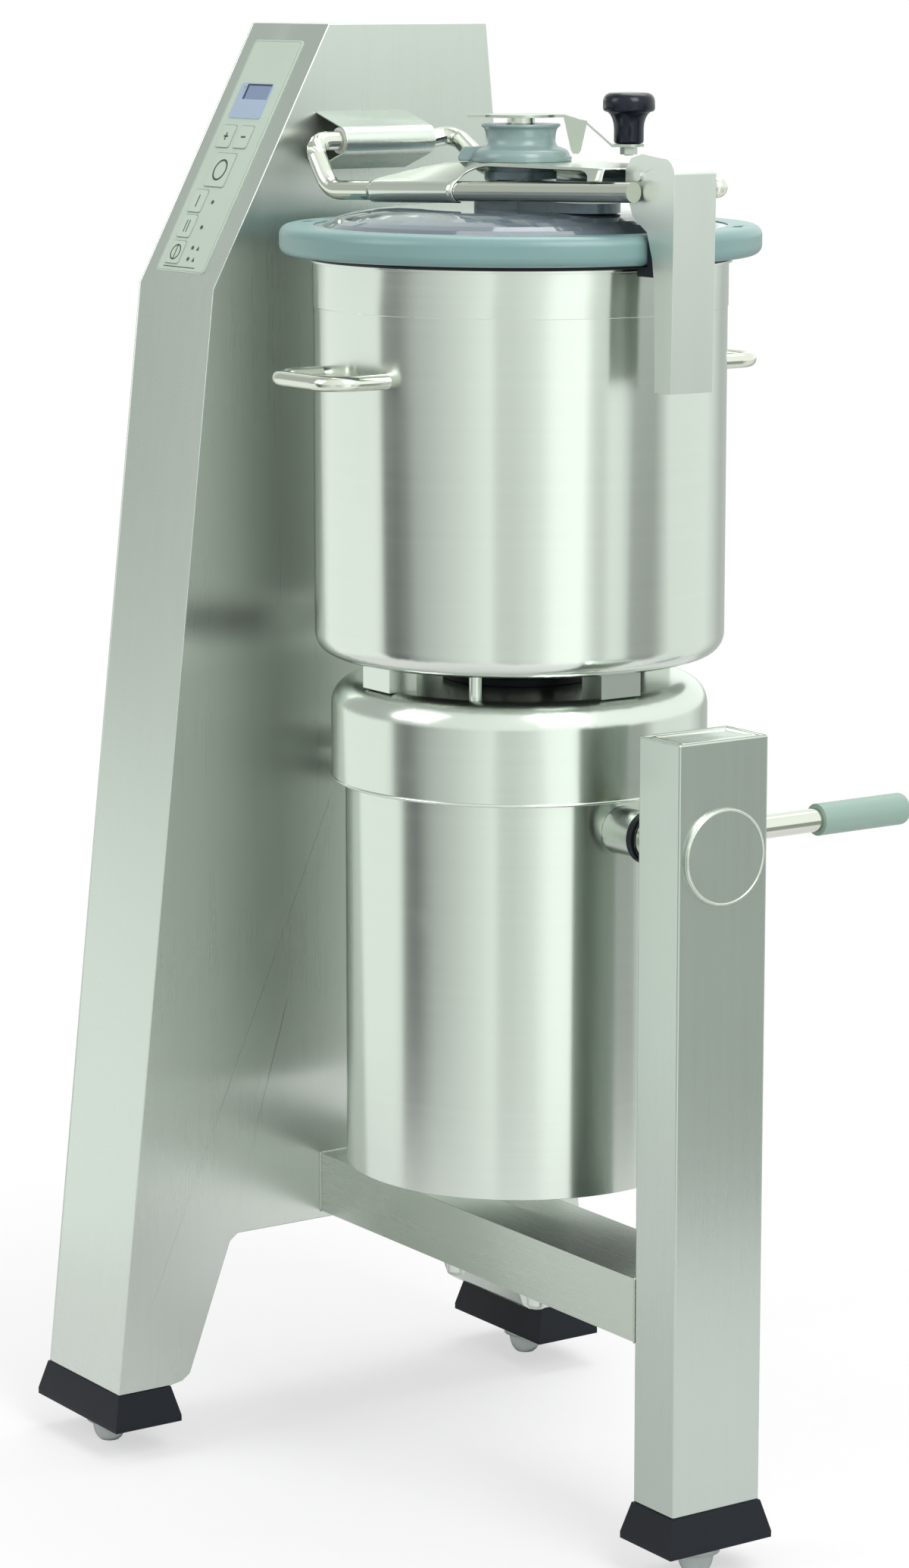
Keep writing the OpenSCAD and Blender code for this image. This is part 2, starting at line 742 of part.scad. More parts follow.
vent_count = 16;
module base_plate() machine() color(dark_steel) on_axis(base_z) difference() {
    cylinder(r = casing_r - casing_wall, h = base_t);
    for (i = [0:vent_count - 1]) rotate(i * 360 / vent_count)
        translate([60, -4, -eps]) cube([70, 8, base_t + 1]);
}

module motor_flange() machine() color(dark_steel) on_axis(flange_z) difference() {
    cylinder(r = cap_r - casing_wall - gap, h = flange_t);
    translate([0, 0, -eps]) cylinder(d = bearing_d, h = bearing_w);
}

// Finned tube below the flange, closed by its end shield with the lower bearing seat
fin_count = 24;
fin_out = 10;
fin_t = 4;
fin_short = 10;
fin_root = 2;
shield_t = 26;
module motor_frame() machine() color([0.66, 0.67, 0.68]) on_axis(motor_z) difference() {
    union() {
        cylinder(r = motor_r, h = motor_l);
        for (i = [0:fin_count - 1]) let (a = (i + 0.5) * 360 / fin_count)
            if (abs(sin(a)) * motor_r > boss_d / 2 + 4) rotate(a)
                translate([motor_r - fin_root, -fin_t / 2, fin_short])
                    cube([fin_out + fin_root, fin_t, motor_l - 2 * fin_short]);
    }
    translate([0, 0, shield_t]) cylinder(r = motor_r - motor_wall, h = motor_l);
    translate([0, 0, -eps]) cylinder(d = bearing_d, h = shield_t + 1);
}

stator_z = motor_z + (motor_l - stator_l) / 2;
coil_h = (motor_l - stator_l) / 2 - shield_t - 2;
module stator() machine() color([0.55, 0.33, 0.2]) on_axis(stator_z) difference() {
    union() {
        cylinder(r = motor_r - motor_wall, h = stator_l);
        translate([0, 0, -coil_h]) cylinder(r = motor_r - motor_wall - 8, h = stator_l + 2 * coil_h);
    }
    translate([0, 0, -coil_h - eps])
        cylinder(r = stator_bore_r, h = stator_l + 2 * coil_h + 2 * eps);
}

module shaft_bearing() {
    difference() {
        cylinder(d = bearing_d, h = bearing_w);
        translate([0, 0, -eps]) cylinder(d = shaft_d + 2 * fit, h = bearing_w + 2 * eps);
    }
}
bearing_low_z = motor_z + 2;
bearing_high_z = flange_z - 8;
module shaft_bearings() machine() color([0.7, 0.7, 0.72]) {
    on_axis(bearing_low_z) shaft_bearing();
    on_axis(bearing_high_z) shaft_bearing();
}

rotor_tail = 46;
shaft_top = bowl_z + chimney_h + 16;
module rotor_shaft() machine() color(dark_steel) {
    on_axis(motor_z - rotor_tail) cylinder(d = shaft_d, h = cap_top + 6 - motor_z + rotor_tail);
    on_axis(cap_top + 6 - eps) cylinder(d = drive_d, h = shaft_top - cap_top - 6 + eps);
    on_axis(stator_z) cylinder(r = stator_bore_r - air_gap, h = stator_l);
}

fan_z = motor_z - rotor_tail + 4;
fan_hub_t = 12;
fan_disc_t = 3;
fan_blade_t = 3;
fan_root = 8;
module cooling_fan() machine() color([0.25, 0.25, 0.27]) on_axis(fan_z) difference() {
    union() {
        cylinder(d = shaft_d + 2 * fan_hub_t, h = fan_h);
        cylinder(d = fan_d * 0.9, h = fan_disc_t);
        for (i = [0:fan_blades - 1]) rotate(i * 360 / fan_blades)
            translate([shaft_d / 2 + fan_root, -fan_blade_t / 2, 0])
                cube([fan_d / 2 - shaft_d / 2 - fan_root, fan_blade_t, fan_h]);
    }
    translate([0, 0, -eps]) cylinder(d = shaft_d, h = fan_h + 2 * eps);
}

// Tilt shafts with their bosses, from the motor frame out to the bushes
boss_face = axis_x + casing_r + boss_out;
left_face = axis_x - casing_r - 60;
module tilt_shafts() machine() color(steel) difference() {
    union() {
        translate([axis_x, axis_y, tilt_z]) rod_x(boss_d, boss_face - axis_x);
        translate([axis_x, axis_y, tilt_z]) rod_x(tilt_shaft_d, post_x + tube_w - axis_x - gap);
        translate([left_face, axis_y, tilt_z]) rod_x(boss_d, axis_x - left_face);
        translate([-sheet - pivot_block_t, axis_y, tilt_z])
            rod_x(tilt_shaft_d, axis_x + sheet + pivot_block_t);
    }
    on_axis(motor_z) cylinder(r = motor_r, h = motor_l);
}

module boss_ring(x) {
    translate([x, axis_y, tilt_z]) difference() {
        rod_x(boss_ring_d, boss_ring_l);
        translate([-eps, 0, 0]) rod_x(boss_d, boss_ring_l + 2 * eps);
    }
}
module boss_rings() machine() color(rubber) {
    boss_ring(boss_face - boss_ring_l - 1);
    boss_ring(left_face + 1);
}

lever_x = boss_face + 2;
grip_y = axis_y + lever_reach - grip_l;
module tilt_lever() machine() color(steel) difference() {
    union() {
        translate([lever_x, axis_y, tilt_z]) rod_x(lever_hub_d, lever_hub_l);
        translate([lever_x + lever_hub_l / 2, axis_y, tilt_z])
            rod_y(lever_rod_d, grip_y + grip_seat - axis_y);
    }
    translate([lever_x - eps, axis_y, tilt_z]) rod_x(tilt_shaft_d, lever_hub_l + 2 * eps);
}

grip_round = 6;
module lever_grip() machine() color([0.55, 0.62, 0.62])
    translate([lever_x + lever_hub_l / 2, grip_y, tilt_z]) rotate([-90, 0, 0]) difference() {
        rotate_extrude() drum(grip_d / 2, grip_l, grip_round, false);
        translate([0, 0, -eps]) cylinder(d = lever_rod_d, h = grip_seat);
    }

seat_count = 4;
module bowl_seats() machine() color(steel) {
    for (i = [0:seat_count - 1]) on_axis(cap_top) rotate(i * 360 / seat_count)
        translate([seat_r - seat_l / 2, -seat_w / 2, 0]) cube([seat_l, seat_w, seat_h]);
    on_axis(cap_top) rotate(pin_angle) translate([seat_r - 8, 0, 0])
        cylinder(d = pin_d, h = seat_h);
}

module drive_seal() machine() color(rubber) on_axis(cap_top) difference() {
    union() {
        cylinder(r = seal_r, h = seal_h / 2);
        cylinder(r = seal_r - 10, h = seal_h);
    }
    translate([0, 0, -eps]) cylinder(r = seal_r - 24, h = seal_h + 2 * eps);
}

module bowl() machine() color(steel) on_axis(bowl_z) rotate_extrude() difference() {
    union() {
        drum(bowl_r, bowl_h, bowl_round, true);
        translate([0, bowl_h - band_h]) square([bowl_r + band_t, band_h]);
        translate([0, bowl_h - 2.5]) square([bowl_r + rim_out, 2.5]);
    }
    difference() {
        translate([0, bowl_wall])
            drum(bowl_r - bowl_wall, bowl_h, bowl_round - bowl_wall, true);
        square([chimney_r, chimney_h]);
    }
    translate([-eps, -eps]) square([chimney_r - bowl_wall, bowl_h + 1]);
}

// Rod bent to a U that stands out of the bowl's wall towards -y
module handle_loop() {
    leg = handle_out - handle_bend;
    half = handle_w / 2;
    for (s = [-1, 1]) {
        translate([s * half, -bowl_r - leg, 0]) rod_y(handle_d, leg + bowl_r * 0.2);
        translate([s * (half - handle_bend), -bowl_r - leg, 0]) rotate(s > 0 ? -90 : 180)
            rotate_extrude(angle = 90) translate([handle_bend, 0]) circle(d = handle_d);
    }
    translate([handle_bend - half, -bowl_r - handle_out, 0]) rod_x(handle_d, handle_w - 2 * handle_bend);
}
module bowl_handles() machine() color(steel) for (a = [0, 180])
    on_axis(rim_z - handle_down) rotate(a) difference() {
        handle_loop();
        translate([0, 0, -handle_d]) cylinder(r = bowl_r, h = 2 * handle_d);
    }

// Swept blade with scalloped teeth along its leading edge, in the plane z = 0
blade_sweep = 44;
blade_root_w = 21;
blade_tip_w = 8;
tooth_r = 3.2;
function blade_edge(u, s, out = 0) = let (
    r = blade_hub_r - 6 + (blade_r - blade_hub_r + 6) * u,
    w = blade_root_w + (blade_tip_w - blade_root_w) * u + out,
    a = s * asin(w / r) - blade_sweep * pow(u, 1.4)) r * [cos(a), sin(a)];
module blade() {
    linear_extrude(blade_t) difference() {
        polygon(concat([for (i = [0:10]) blade_edge(i / 10, 1)],
            [for (i = [10:-1:0]) blade_edge(i / 10, -1)]));
        for (i = [1:blade_teeth]) translate(blade_edge(0.2 + 0.76 * i / blade_teeth, 1, tooth_r / 2))
            circle(tooth_r, $fn = 16);
    }
}
hub_foot_z = bowl_z + bowl_wall + 2;
hub_bore_r = chimney_r + 0.6;
module blade_rotor() machine() color([0.72, 0.73, 0.72]) on_axis(hub_foot_z) difference() {
    union() {
        rotate_extrude() drum(blade_hub_r, blade_hub_h, 14, false);
        for (k = [0, 1], a = [90, 270]) translate([0, 0, blade_low + k * blade_pitch])
            rotate(a + k * 90) blade();
    }
    translate([0, 0, -eps]) cylinder(r = hub_bore_r, h = chimney_h - 2);
    translate([0, 0, -eps]) cylinder(d = drive_d, h = shaft_top - hub_foot_z);
}

dome_foot = ring_top - 5;
module lid_ring() machine() color(grey_plastic) on_axis(ring_z) difference() {
    rotate_extrude() difference() {
        union() {
            translate([ring_inner, 0]) square([ring_w - ring_round, ring_h]);
            translate([ring_inner, ring_round]) square([ring_w, ring_h - 2 * ring_round]);
            for (z = [ring_round, ring_h - ring_round])
                translate([ring_r - ring_round, z]) circle(ring_round);
        }
        translate([ring_inner - eps, ring_h - 5]) square([8, 6]);
    }
    for (i = [0:ring_slots - 1]) rotate(42 - i * 180)
        translate([ring_r - ring_w / 2, 0, -1]) rotate(90)
            translate([-ring_slot_l / 2, -ring_slot_w / 2, 0])
                soft_plate(ring_slot_l, ring_slot_w, ring_h + 2, ring_slot_w / 2 - eps);
}

module lid_gasket() machine() color(rubber) on_axis(rim_z + gap) rotate_extrude()
    translate([bowl_r + rim_out + 3 - gasket_w, 0]) {
        square([gasket_w - gasket_h / 2, gasket_h]);
        translate([gasket_w - gasket_h / 2, gasket_h / 2]) circle(gasket_h / 2, $fn = 24);
    }

// Height of the dome's outer surface above its foot, for arc angle a, and its radius
function dome_point(a, t) =
    [dome_flat_r + (ring_inner + 2 - dome_flat_r - t) * cos(a), (dome_h - t) * sin(a)];
dome_steps = 8;
module lid_dome() machine() color([0.75, 0.8, 0.82, 0.45]) on_axis(dome_foot) rotate_extrude()
    difference() {
        union() {
            square([ring_inner + 7.5, dome_t]);
            polygon(concat([[0, 0]], [for (i = [0:dome_steps]) dome_point(i * 90 / dome_steps, 0)],
                [[0, dome_h]]));
        }
        polygon(concat([[0, -1], [ring_inner + 2 - dome_t, -1]],
            [for (i = [0:dome_steps]) dome_point(i * 90 / dome_steps, dome_t)],
            [[0, dome_h - dome_t]]));
        square([hub_r - 8, dome_h + 1]);
    }

hub_z = dome_foot + dome_h;
hub_bore_d = wiper_shaft_d + 2 * wiper_bush_t;
band_z = saddle_z - 16;
module lid_hub() machine() color([0.47, 0.53, 0.56]) on_axis(0) difference() {
    union() {
        translate([0, 0, hub_z]) cylinder(r = hub_r, h = saddle_z - plate_t - hub_z);
        translate([0, 0, hub_z - dome_t]) cylinder(r = hub_r - 8, h = dome_t + eps);
        translate([0, 0, hub_z]) cylinder(r = hub_r + 12, h = hub_foot_t);
        translate([hub_foot_l, 0, hub_z]) cylinder(r = hub_r - 4, h = hub_foot_t);
        translate([0, 4 - hub_r, hub_z]) cube([hub_foot_l, 2 * hub_r - 8, hub_foot_t]);
        translate([0, 0, band_z]) cylinder(r = hub_r + band_wrap_t, h = 7);
    }
    translate([0, 0, hub_z - dome_t - 1]) cylinder(d = hub_bore_d, h = saddle_z);
}

// Spool: base flare, waist and top flare as one smooth profile, with its bush inside
waist_up = 0.55;
module hub_spool() machine() color(grey_plastic) on_axis(saddle_z) difference() {
    union() {
        rotate_extrude() polygon(concat([[0, 0], [spool_base_r, 0], [spool_base_r, 4]],
            [for (i = [1:6]) [spool_waist_r + (spool_base_r - spool_waist_r) * (1 - sin(i * 15)),
                4 + (spool_h * waist_up - 4) * (1 - cos(i * 15))]],
            [for (i = [1:5]) [spool_waist_r + (spool_top_r - spool_waist_r) * (1 - cos(i * 18)),
                spool_h * (waist_up + (0.88 - waist_up) * sin(i * 18))]],
            [[spool_top_r, spool_h], [0, spool_h]]));
        rotate(crank_angle + 180) translate([spool_base_r - 12, -9, 0]) cube([20, 18, 4]);
        translate([0, 0, -wiper_bush_l]) cylinder(d = hub_bore_d - 2 * gap, h = wiper_bush_l + 1);
    }
    translate([0, 0, -wiper_bush_l - 1])
        cylinder(d = wiper_shaft_d + 2 * fit, h = wiper_bush_l + spool_h + 2);
}

// Centre lines of the two runs of the lid frame, which draw together towards the latch
run_y = latch_w / 2 + frame_d / 2 + 0.8;
front_corner = [hinge_x, sleeve_y0 - 31, hinge_z];
front_a = [hinge_x + 30, axis_y - 77, ring_top + 25];
front_b = [latch_px + 6, axis_y - run_y, ring_top + 38];
rear_corner = [hinge_x + 6, sleeve_y0 + sleeve_l + 27, hinge_z + 5];
rear_a = [hinge_x + 70, axis_y + 74, ring_top + 46];
rear_b = [latch_px + 40, axis_y + run_y, ring_top + 42];
front_start = [hinge_x, sleeve_y0 - 4, hinge_z];
rear_start = [hinge_x, sleeve_y0 + sleeve_l + 4, hinge_z];
bent_d = frame_d - 0.2;

module lid_frame() machine() color(steel) {
    translate([hinge_x, sleeve_y0 - 5, hinge_z]) rod_y(frame_d, sleeve_l + 10);
    swept_bar(concat([front_start], bend(front_start, front_corner, front_a, 16),
        bend(front_corner, front_a, front_b, 28), [front_b]), bent_d);
    swept_bar(concat([rear_start], bend(rear_start, rear_corner, rear_a, 17),
        bend(rear_corner, rear_a, rear_b, 40), [rear_b]), bent_d);
    translate(rear_b) sphere(d = frame_d);
}

// Saddle: top plate with a tongue between the latch flanges, a lip over the front tube
// with a window at the hub, and the knuckle that the latch pin runs in
front_dir = front_b - front_a;
rear_dir = rear_b - rear_a;
front_turn = atan2(front_dir.y, front_dir.x);
front_tilt = atan2(front_dir.z, norm([front_dir.x, front_dir.y]));
function front_at(x) = front_a + front_dir * (x - front_a.x) / front_dir.x;
function rear_at(x) = rear_a + rear_dir * (x - rear_a.x) / rear_dir.x;
wrap_d = frame_d + 2 * plate_t + 0.2;
slot_y = latch_w / 2 + 0.8;
slot_in = latch_w / 2 - plate_t - 0.8;
knuckle_d = 16;
plate_end = saddle_x2 + 28;
front_y = axis_y - slot_y - 3;
module wrap_round(a, b) {
    translate(a) rotate([0, 0, front_turn]) rotate([0, -front_tilt, 0]) difference() {
        rod_x(wrap_d, norm(b - a));
        translate([-1, 0, 0]) rod_x(frame_d + 0.2, norm(b - a) + 2);
        translate([-1, 0, -wrap_d]) cube([norm(b - a) + 2, wrap_d, 2 * wrap_d]);
    }
}
// Upright web from a tube, between its points p and q, up to the plate. It stands up
// above the tube's centre line by rise.
plate_lap = 0.4;
module web(p, q, rise) {
    l = norm([q.x - p.x, q.y - p.y]);
    up = saddle_z - plate_lap;
    translate([p.x, p.y, 0]) rotate(atan2(q.y - p.y, q.x - p.x)) translate([0, plate_t / 2, 0])
        rotate([90, 0, 0]) linear_extrude(plate_t)
            polygon([[0, p.z + rise], [l, q.z + rise], [l, up], [0, up]]);
}
wrap_rise = frame_d / 2 + plate_t / 2;
tube_rise = frame_d / 2 + 0.1;
plate_over = plate_t / 2 + 0.5;
module lid_saddle() machine() color(steel) difference() {
    union() {
        translate([0, 0, saddle_z - plate_t]) linear_extrude(plate_t) polygon([
            [saddle_x0, front_at(saddle_x0).y - plate_over],
            [saddle_x1, front_at(saddle_x1).y - plate_over],
            [saddle_x1 + 24, front_at(saddle_x1).y + 10], [plate_end - 10, front_y - 13],
            [plate_end, front_y - 6], [plate_end, front_y], [saddle_x2, front_y],
            [saddle_x2, axis_y - slot_in], [latch_px - 2, axis_y - slot_in],
            [latch_px - 2, axis_y + slot_in], [saddle_x2, axis_y + slot_in],
            [saddle_x2, rear_at(saddle_x2).y + plate_over],
            [saddle_x0 + 70, rear_at(saddle_x0 + 70).y + plate_over]]);
        wrap_round(front_at(saddle_x0), front_at(saddle_x1));
        web(front_at(saddle_x0 + 0.5), front_at(saddle_x1 - 0.5), wrap_rise);
        web(front_at(plate_end - 12) + [0, 1, 0], front_at(plate_end - 2) + [0, 1, 0], tube_rise);
        web(rear_at(saddle_x0 + 74), rear_at(saddle_x2 - 0.5), tube_rise);
        translate([latch_px, axis_y - slot_in, latch_z]) rod_y(knuckle_d, 2 * slot_in);
    }
    translate([latch_px, axis_y - latch_w, latch_z]) rod_y(latch_pin_d + 2 * fit, 2 * latch_w);
    translate([axis_x, axis_y, saddle_z - 30]) cylinder(r = hub_r - 12, h = 40);
}

wiper_top_z = spool_z + 6;
wiper_foot_z = ring_z + 6;
module wiper_shaft() machine() color(steel) {
    on_axis(wiper_foot_z) cylinder(d = wiper_shaft_d, h = wiper_top_z - wiper_foot_z);
    on_axis(spool_z + gap) cylinder(d = wiper_shaft_d + 10, h = 6 - gap - eps);
}

// Wiper arm under the dome: its upper edge follows the dome's inner surface
wiper_low = 3;
module lid_wiper() machine() color([0.85, 0.88, 0.88]) on_axis(ring_z) rotate(crank_angle) difference() {
    union() {
        translate([0, 0, wiper_low]) cylinder(r = 17, h = 14);
        for (a = [0, 180]) rotate(a) translate([0, wiper_t / 2, 0]) rotate([90, 0, 0])
            linear_extrude(wiper_t) intersection() {
                translate([0, wiper_low]) square([wiper_r, ring_h + dome_h]);
                polygon(concat([[0, 0], [wiper_r, 0]],
                    [for (i = [1:dome_steps]) dome_point(i * 90 / dome_steps, dome_t + wiper_gap)
                        + [-wiper_gap, dome_foot - ring_z]],
                    [[0, dome_foot - ring_z + dome_h - dome_t - wiper_gap]]));
            }
    }
    translate([0, 0, wiper_low + 10]) cylinder(r = hub_r - 7, h = ring_h + dome_h);
    cylinder(d = wiper_shaft_d, h = ring_h + dome_h);
}

crank_z = wiper_top_z;
arm_end = crank_reach + crank_w / 2;
// Side line of the crank arm, as points of radius and height above the hub plate
arm_line = [[0, 0], [crank_plate_r + 6, 0], [crank_reach - 40, -0.22 * crank_drop],
    [crank_reach - 25, -0.7 * crank_drop], [crank_reach - 16, -crank_drop],
    [arm_end, -crank_drop]];
module crank_arm() machine() color(steel) on_axis(crank_z) rotate(crank_angle) difference() {
    union() {
        intersection() {
            translate([0, crank_w, 0]) rotate([90, 0, 0]) linear_extrude(2 * crank_w)
                polygon(concat(arm_line, [for (i = [len(arm_line) - 1:-1:0])
                    arm_line[i] + [0, crank_t]]));
            translate([0, 0, -2 * crank_drop]) linear_extrude(4 * crank_drop) union() {
                translate([0, -crank_w / 2]) square([crank_reach, crank_w]);
                translate([crank_reach, 0]) circle(d = crank_w);
            }
        }
        cylinder(r = crank_plate_r, h = crank_t);
        translate([-crank_tail, -10, 0]) cube([crank_tail, 20, crank_t]);
        finger();
    }
    translate([crank_reach, 0, -2 * crank_drop])
        cylinder(d = knob_screw_d, h = 2 * crank_drop + crank_t + 1);
}
// Finger that hangs from the arm's side
finger_l = spool_h - 1;
module finger() {
    translate([50, -crank_w / 2, 0]) rotate([90, 0, 0]) mirror([0, 0, 1]) linear_extrude(crank_t)
        polygon([[-11, 1], [11, -3], [5, -finger_l + 3], [3, -finger_l], [-2, -finger_l],
            [-4, -finger_l + 3]]);
}

screw_low = 8;
module knob_screw() machine() color(dark_steel) on_axis(crank_z - crank_drop) rotate(crank_angle)
    translate([crank_reach, 0, 0]) {
        translate([0, 0, -screw_low]) cylinder(d = knob_screw_d, h = screw_low + crank_t + knob_h - 8);
        translate([0, 0, -screw_low + 1]) cylinder(d = knob_screw_d * 2, h = screw_low - 1, $fn = 6);
        translate([0, 0, crank_t + knob_h - 12]) cylinder(d = knob_screw_d + 5, h = 4);
    }

// Knob: turned head, hollow neck and a wider foot
module crank_knob() machine() color([0.05, 0.06, 0.1]) on_axis(crank_z - crank_drop + crank_t)
    rotate(crank_angle) translate([crank_reach, 0, gap]) difference() {
        rotate_extrude() polygon(concat([[0, 0], [knob_neck_d / 2, 0], [knob_neck_d / 2 - 1, 12]],
            [for (i = [1:5]) [knob_neck_d / 2 - 1 + (knob_d - knob_neck_d) / 2 * (1 - cos(i * 18)),
                12 + (knob_h * 0.62 - 12) * sin(i * 18)]],
            [for (i = [-3:6]) [knob_d / 2 - 4 + 4.4 * cos(i * 15), knob_h * 0.8 + 8 * sin(i * 15)]],
            [[knob_d / 2 - 8, knob_h - gap], [0, knob_h - gap]]));
        translate([0, 0, -1]) cylinder(d = knob_screw_d + 2 * fit, h = knob_h - 7);
        translate([0, 0, knob_h - 12 - gap]) cylinder(d = knob_screw_d + 5 + 2 * gap, h = 4 + 2 * gap);
    }

// Side outline of the latch in x-z from its pin: outer edge, then inner edge
foot_in = latch_out - 3 - latch_depth;
latch_side = concat([[foot_in, -latch_drop], [latch_out - 3, -latch_drop], [latch_out, 2]],
    arc([latch_out - 14, 2], 14, 15, 75, 4), [[4, 19], [-12, 15]],
    arc([-12, 3], 8, 110, 190, 4), [[-20, -10], [-9, -36], [12, -49],
    [foot_in - 5, -72], [foot_in - 2, -92]]);
module latch_lever() machine() color(steel) translate([latch_px, axis_y, latch_z]) difference() {
    translate([0, latch_w / 2, 0]) rotate([90, 0, 0]) linear_extrude(latch_w) polygon(latch_side);
    translate([0, latch_w / 2 - plate_t, 0]) rotate([90, 0, 0])
        linear_extrude(latch_w - 2 * plate_t) polygon(concat([[-60, -latch_drop - 1],
            [latch_out - 3 - plate_t, -latch_drop - 1], [latch_out - plate_t, 2]],
            arc([latch_out - 14, 2], 14 - plate_t, 15, 75, 4), [[4, 19 - plate_t], [4, 40], [-60, 40]]));
    translate([0, -latch_w, 0]) rod_y(latch_pin_d, 2 * latch_w);
}

// Rubber pad inside the latch, with a foot that reaches below the ring's edge
function latch_inner(z) = latch_out - plate_t - 3 * (2 - z) / (3 + latch_drop);
pad_face = ring_r - latch_x + gap;
pad_foot_z = ring_z - gap - latch_z;
pad_foot_t = 9;
pad_foot_l = 15;
module latch_pad() machine() color(rubber) translate([latch_px, axis_y + latch_w / 2 - plate_t, latch_z])
    rotate([90, 0, 0]) linear_extrude(latch_w - 2 * plate_t) let (low = pad_foot_z - pad_foot_t,
        high = low + pad_h)
        polygon([[pad_face - pad_foot_l, low], [latch_inner(low), low], [latch_inner(high), high],
            [pad_face, high], [pad_face, pad_foot_z], [pad_face - pad_foot_l, pad_foot_z]]);

pin_head = 2;
module latch_pin() machine() color(dark_steel) translate([latch_px, axis_y, latch_z]) {
    translate([0, -latch_w / 2, 0]) rod_y(latch_pin_d, latch_w);
    for (s = [-1, 1]) translate([0, s * (latch_w + pin_head) / 2 - pin_head / 2, 0])
        rod_y(latch_pin_d + 2, pin_head);
}

column_shell();
column_cover();
cover_screws();
control_panel();
display_window();
key_plus();
key_minus();
key_stop();
key_speed_one();
key_speed_two();
key_pulse();
indicator_lights();
control_board();
power_unit();
cable_gland();
pivot_block();
tilt_bushes();
cross_beam();
beam_buffers();
post_tube();
post_cap();
pivot_cap();
leg_boots();
post_boot();
levelling_glides();
hinge_bracket();
hinge_bushes();
housing_cap();
motor_casing();
base_plate();
motor_flange();
motor_frame();
stator();
shaft_bearings();
tilt_shafts();
boss_rings();
tilt_lever();
lever_grip();
bowl_seats();
drive_seal();
bowl();
bowl_handles();
rotor_shaft();
cooling_fan();
blade_rotor();
lid_ring();
lid_gasket();
lid_dome();
lid_hub();
hub_spool();
lid_frame();
lid_saddle();
wiper_shaft();
lid_wiper();
crank_arm();
knob_screw();
crank_knob();
latch_lever();
latch_pin();
latch_pad();
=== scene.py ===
# Finish and lighting of a floor-standing commercial blender with a tilting bowl.
# Lengths are metres in the part's own frame; MM turns millimetres into metres.
import bpy
import bmesh
import json
import math
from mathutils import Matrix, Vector


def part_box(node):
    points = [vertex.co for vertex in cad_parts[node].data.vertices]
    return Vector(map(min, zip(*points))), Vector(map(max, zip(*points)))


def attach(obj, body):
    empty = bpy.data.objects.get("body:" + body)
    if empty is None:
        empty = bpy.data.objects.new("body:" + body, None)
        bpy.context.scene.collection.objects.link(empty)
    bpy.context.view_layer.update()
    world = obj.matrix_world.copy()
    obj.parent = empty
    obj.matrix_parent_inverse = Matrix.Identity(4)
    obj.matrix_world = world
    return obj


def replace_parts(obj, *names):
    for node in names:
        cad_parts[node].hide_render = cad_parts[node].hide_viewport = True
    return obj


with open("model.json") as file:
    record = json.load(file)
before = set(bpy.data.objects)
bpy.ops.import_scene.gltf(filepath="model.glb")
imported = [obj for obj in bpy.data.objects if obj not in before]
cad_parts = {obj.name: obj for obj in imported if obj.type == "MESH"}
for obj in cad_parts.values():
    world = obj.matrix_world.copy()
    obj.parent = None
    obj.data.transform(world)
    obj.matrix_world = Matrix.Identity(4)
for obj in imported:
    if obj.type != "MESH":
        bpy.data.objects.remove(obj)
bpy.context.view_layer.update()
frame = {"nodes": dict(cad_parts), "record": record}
NODES = frame["nodes"]
MM = 0.001


def spot(x, y, z):
    """A point given in millimetres from the column's inner face, the beam's front and the floor."""
    column_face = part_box("cross_beam")[0]
    return Vector((column_face.x, column_face.y, 0)) + Vector((x, y, z)) * MM


# Camera: where it stands, where it looks and its focal length in photograph pixels
CAMERA_PLACE = Vector((3.3835, -2.3483, 1.4409))
CAMERA_AZIMUTH = math.radians(55.67)
CAMERA_PITCH = math.radians(10.38)
FOCAL_PX = 5790.6
IMAGE_LONG_PX = 2070
SENSOR = 36.0


def make_camera():
    data = bpy.data.cameras.new("camera")
    camera = bpy.data.objects.new("camera", data)
    bpy.context.scene.collection.objects.link(camera)
    data.sensor_width = SENSOR
    data.lens = SENSOR * FOCAL_PX / IMAGE_LONG_PX
    data.clip_start, data.clip_end = 0.1, 60
    flat = math.cos(CAMERA_PITCH)
    back = Vector((math.sin(CAMERA_AZIMUTH) * flat, -math.cos(CAMERA_AZIMUTH) * flat, math.sin(CAMERA_PITCH)))
    camera.location = CAMERA_PLACE
    camera.rotation_mode = "QUATERNION"
    camera.rotation_quaternion = (-back).to_track_quat("-Z", "Y")
    bpy.context.scene.camera = camera


class Wire:
    """A link in a recipe: an operator on it adds a Math node."""

    def __init__(self, recipe, socket):
        self.recipe, self.socket = recipe, socket

    def math(self, operation, *inputs, clamp=False):
        settings = {"operation": operation, "use_clamp": clamp}
        return self.recipe.node("ShaderNodeMath", settings, dict(enumerate(inputs)))

    def __add__(self, other):
        return self.math("ADD", self, other)

    def __radd__(self, other):
        return self.math("ADD", other, self)

    def __sub__(self, other):
        return self.math("SUBTRACT", self, other)

    def __rsub__(self, other):
        return self.math("SUBTRACT", other, self)

    def __mul__(self, other):
        return self.math("MULTIPLY", self, other)

    def __rmul__(self, other):
        return self.math("MULTIPLY", other, self)

    def __truediv__(self, other):
        return self.math("DIVIDE", self, other)

    def __pow__(self, other):
        return self.math("POWER", self, other)

    def clip(self):
        """Kept between 0 and 1."""
        return self.math("ADD", self, 0.0, clamp=True)

    def over(self, other):
        return self.math("MAXIMUM", self, other)

    def rise(self, low, high):
        """0 below low, 1 above high, with a smooth run between them."""
        sockets = {"Value": self, "From Min": low, "From Max": high}
        return self.recipe.node("ShaderNodeMapRange", {"interpolation_type": "SMOOTHSTEP"}, sockets)


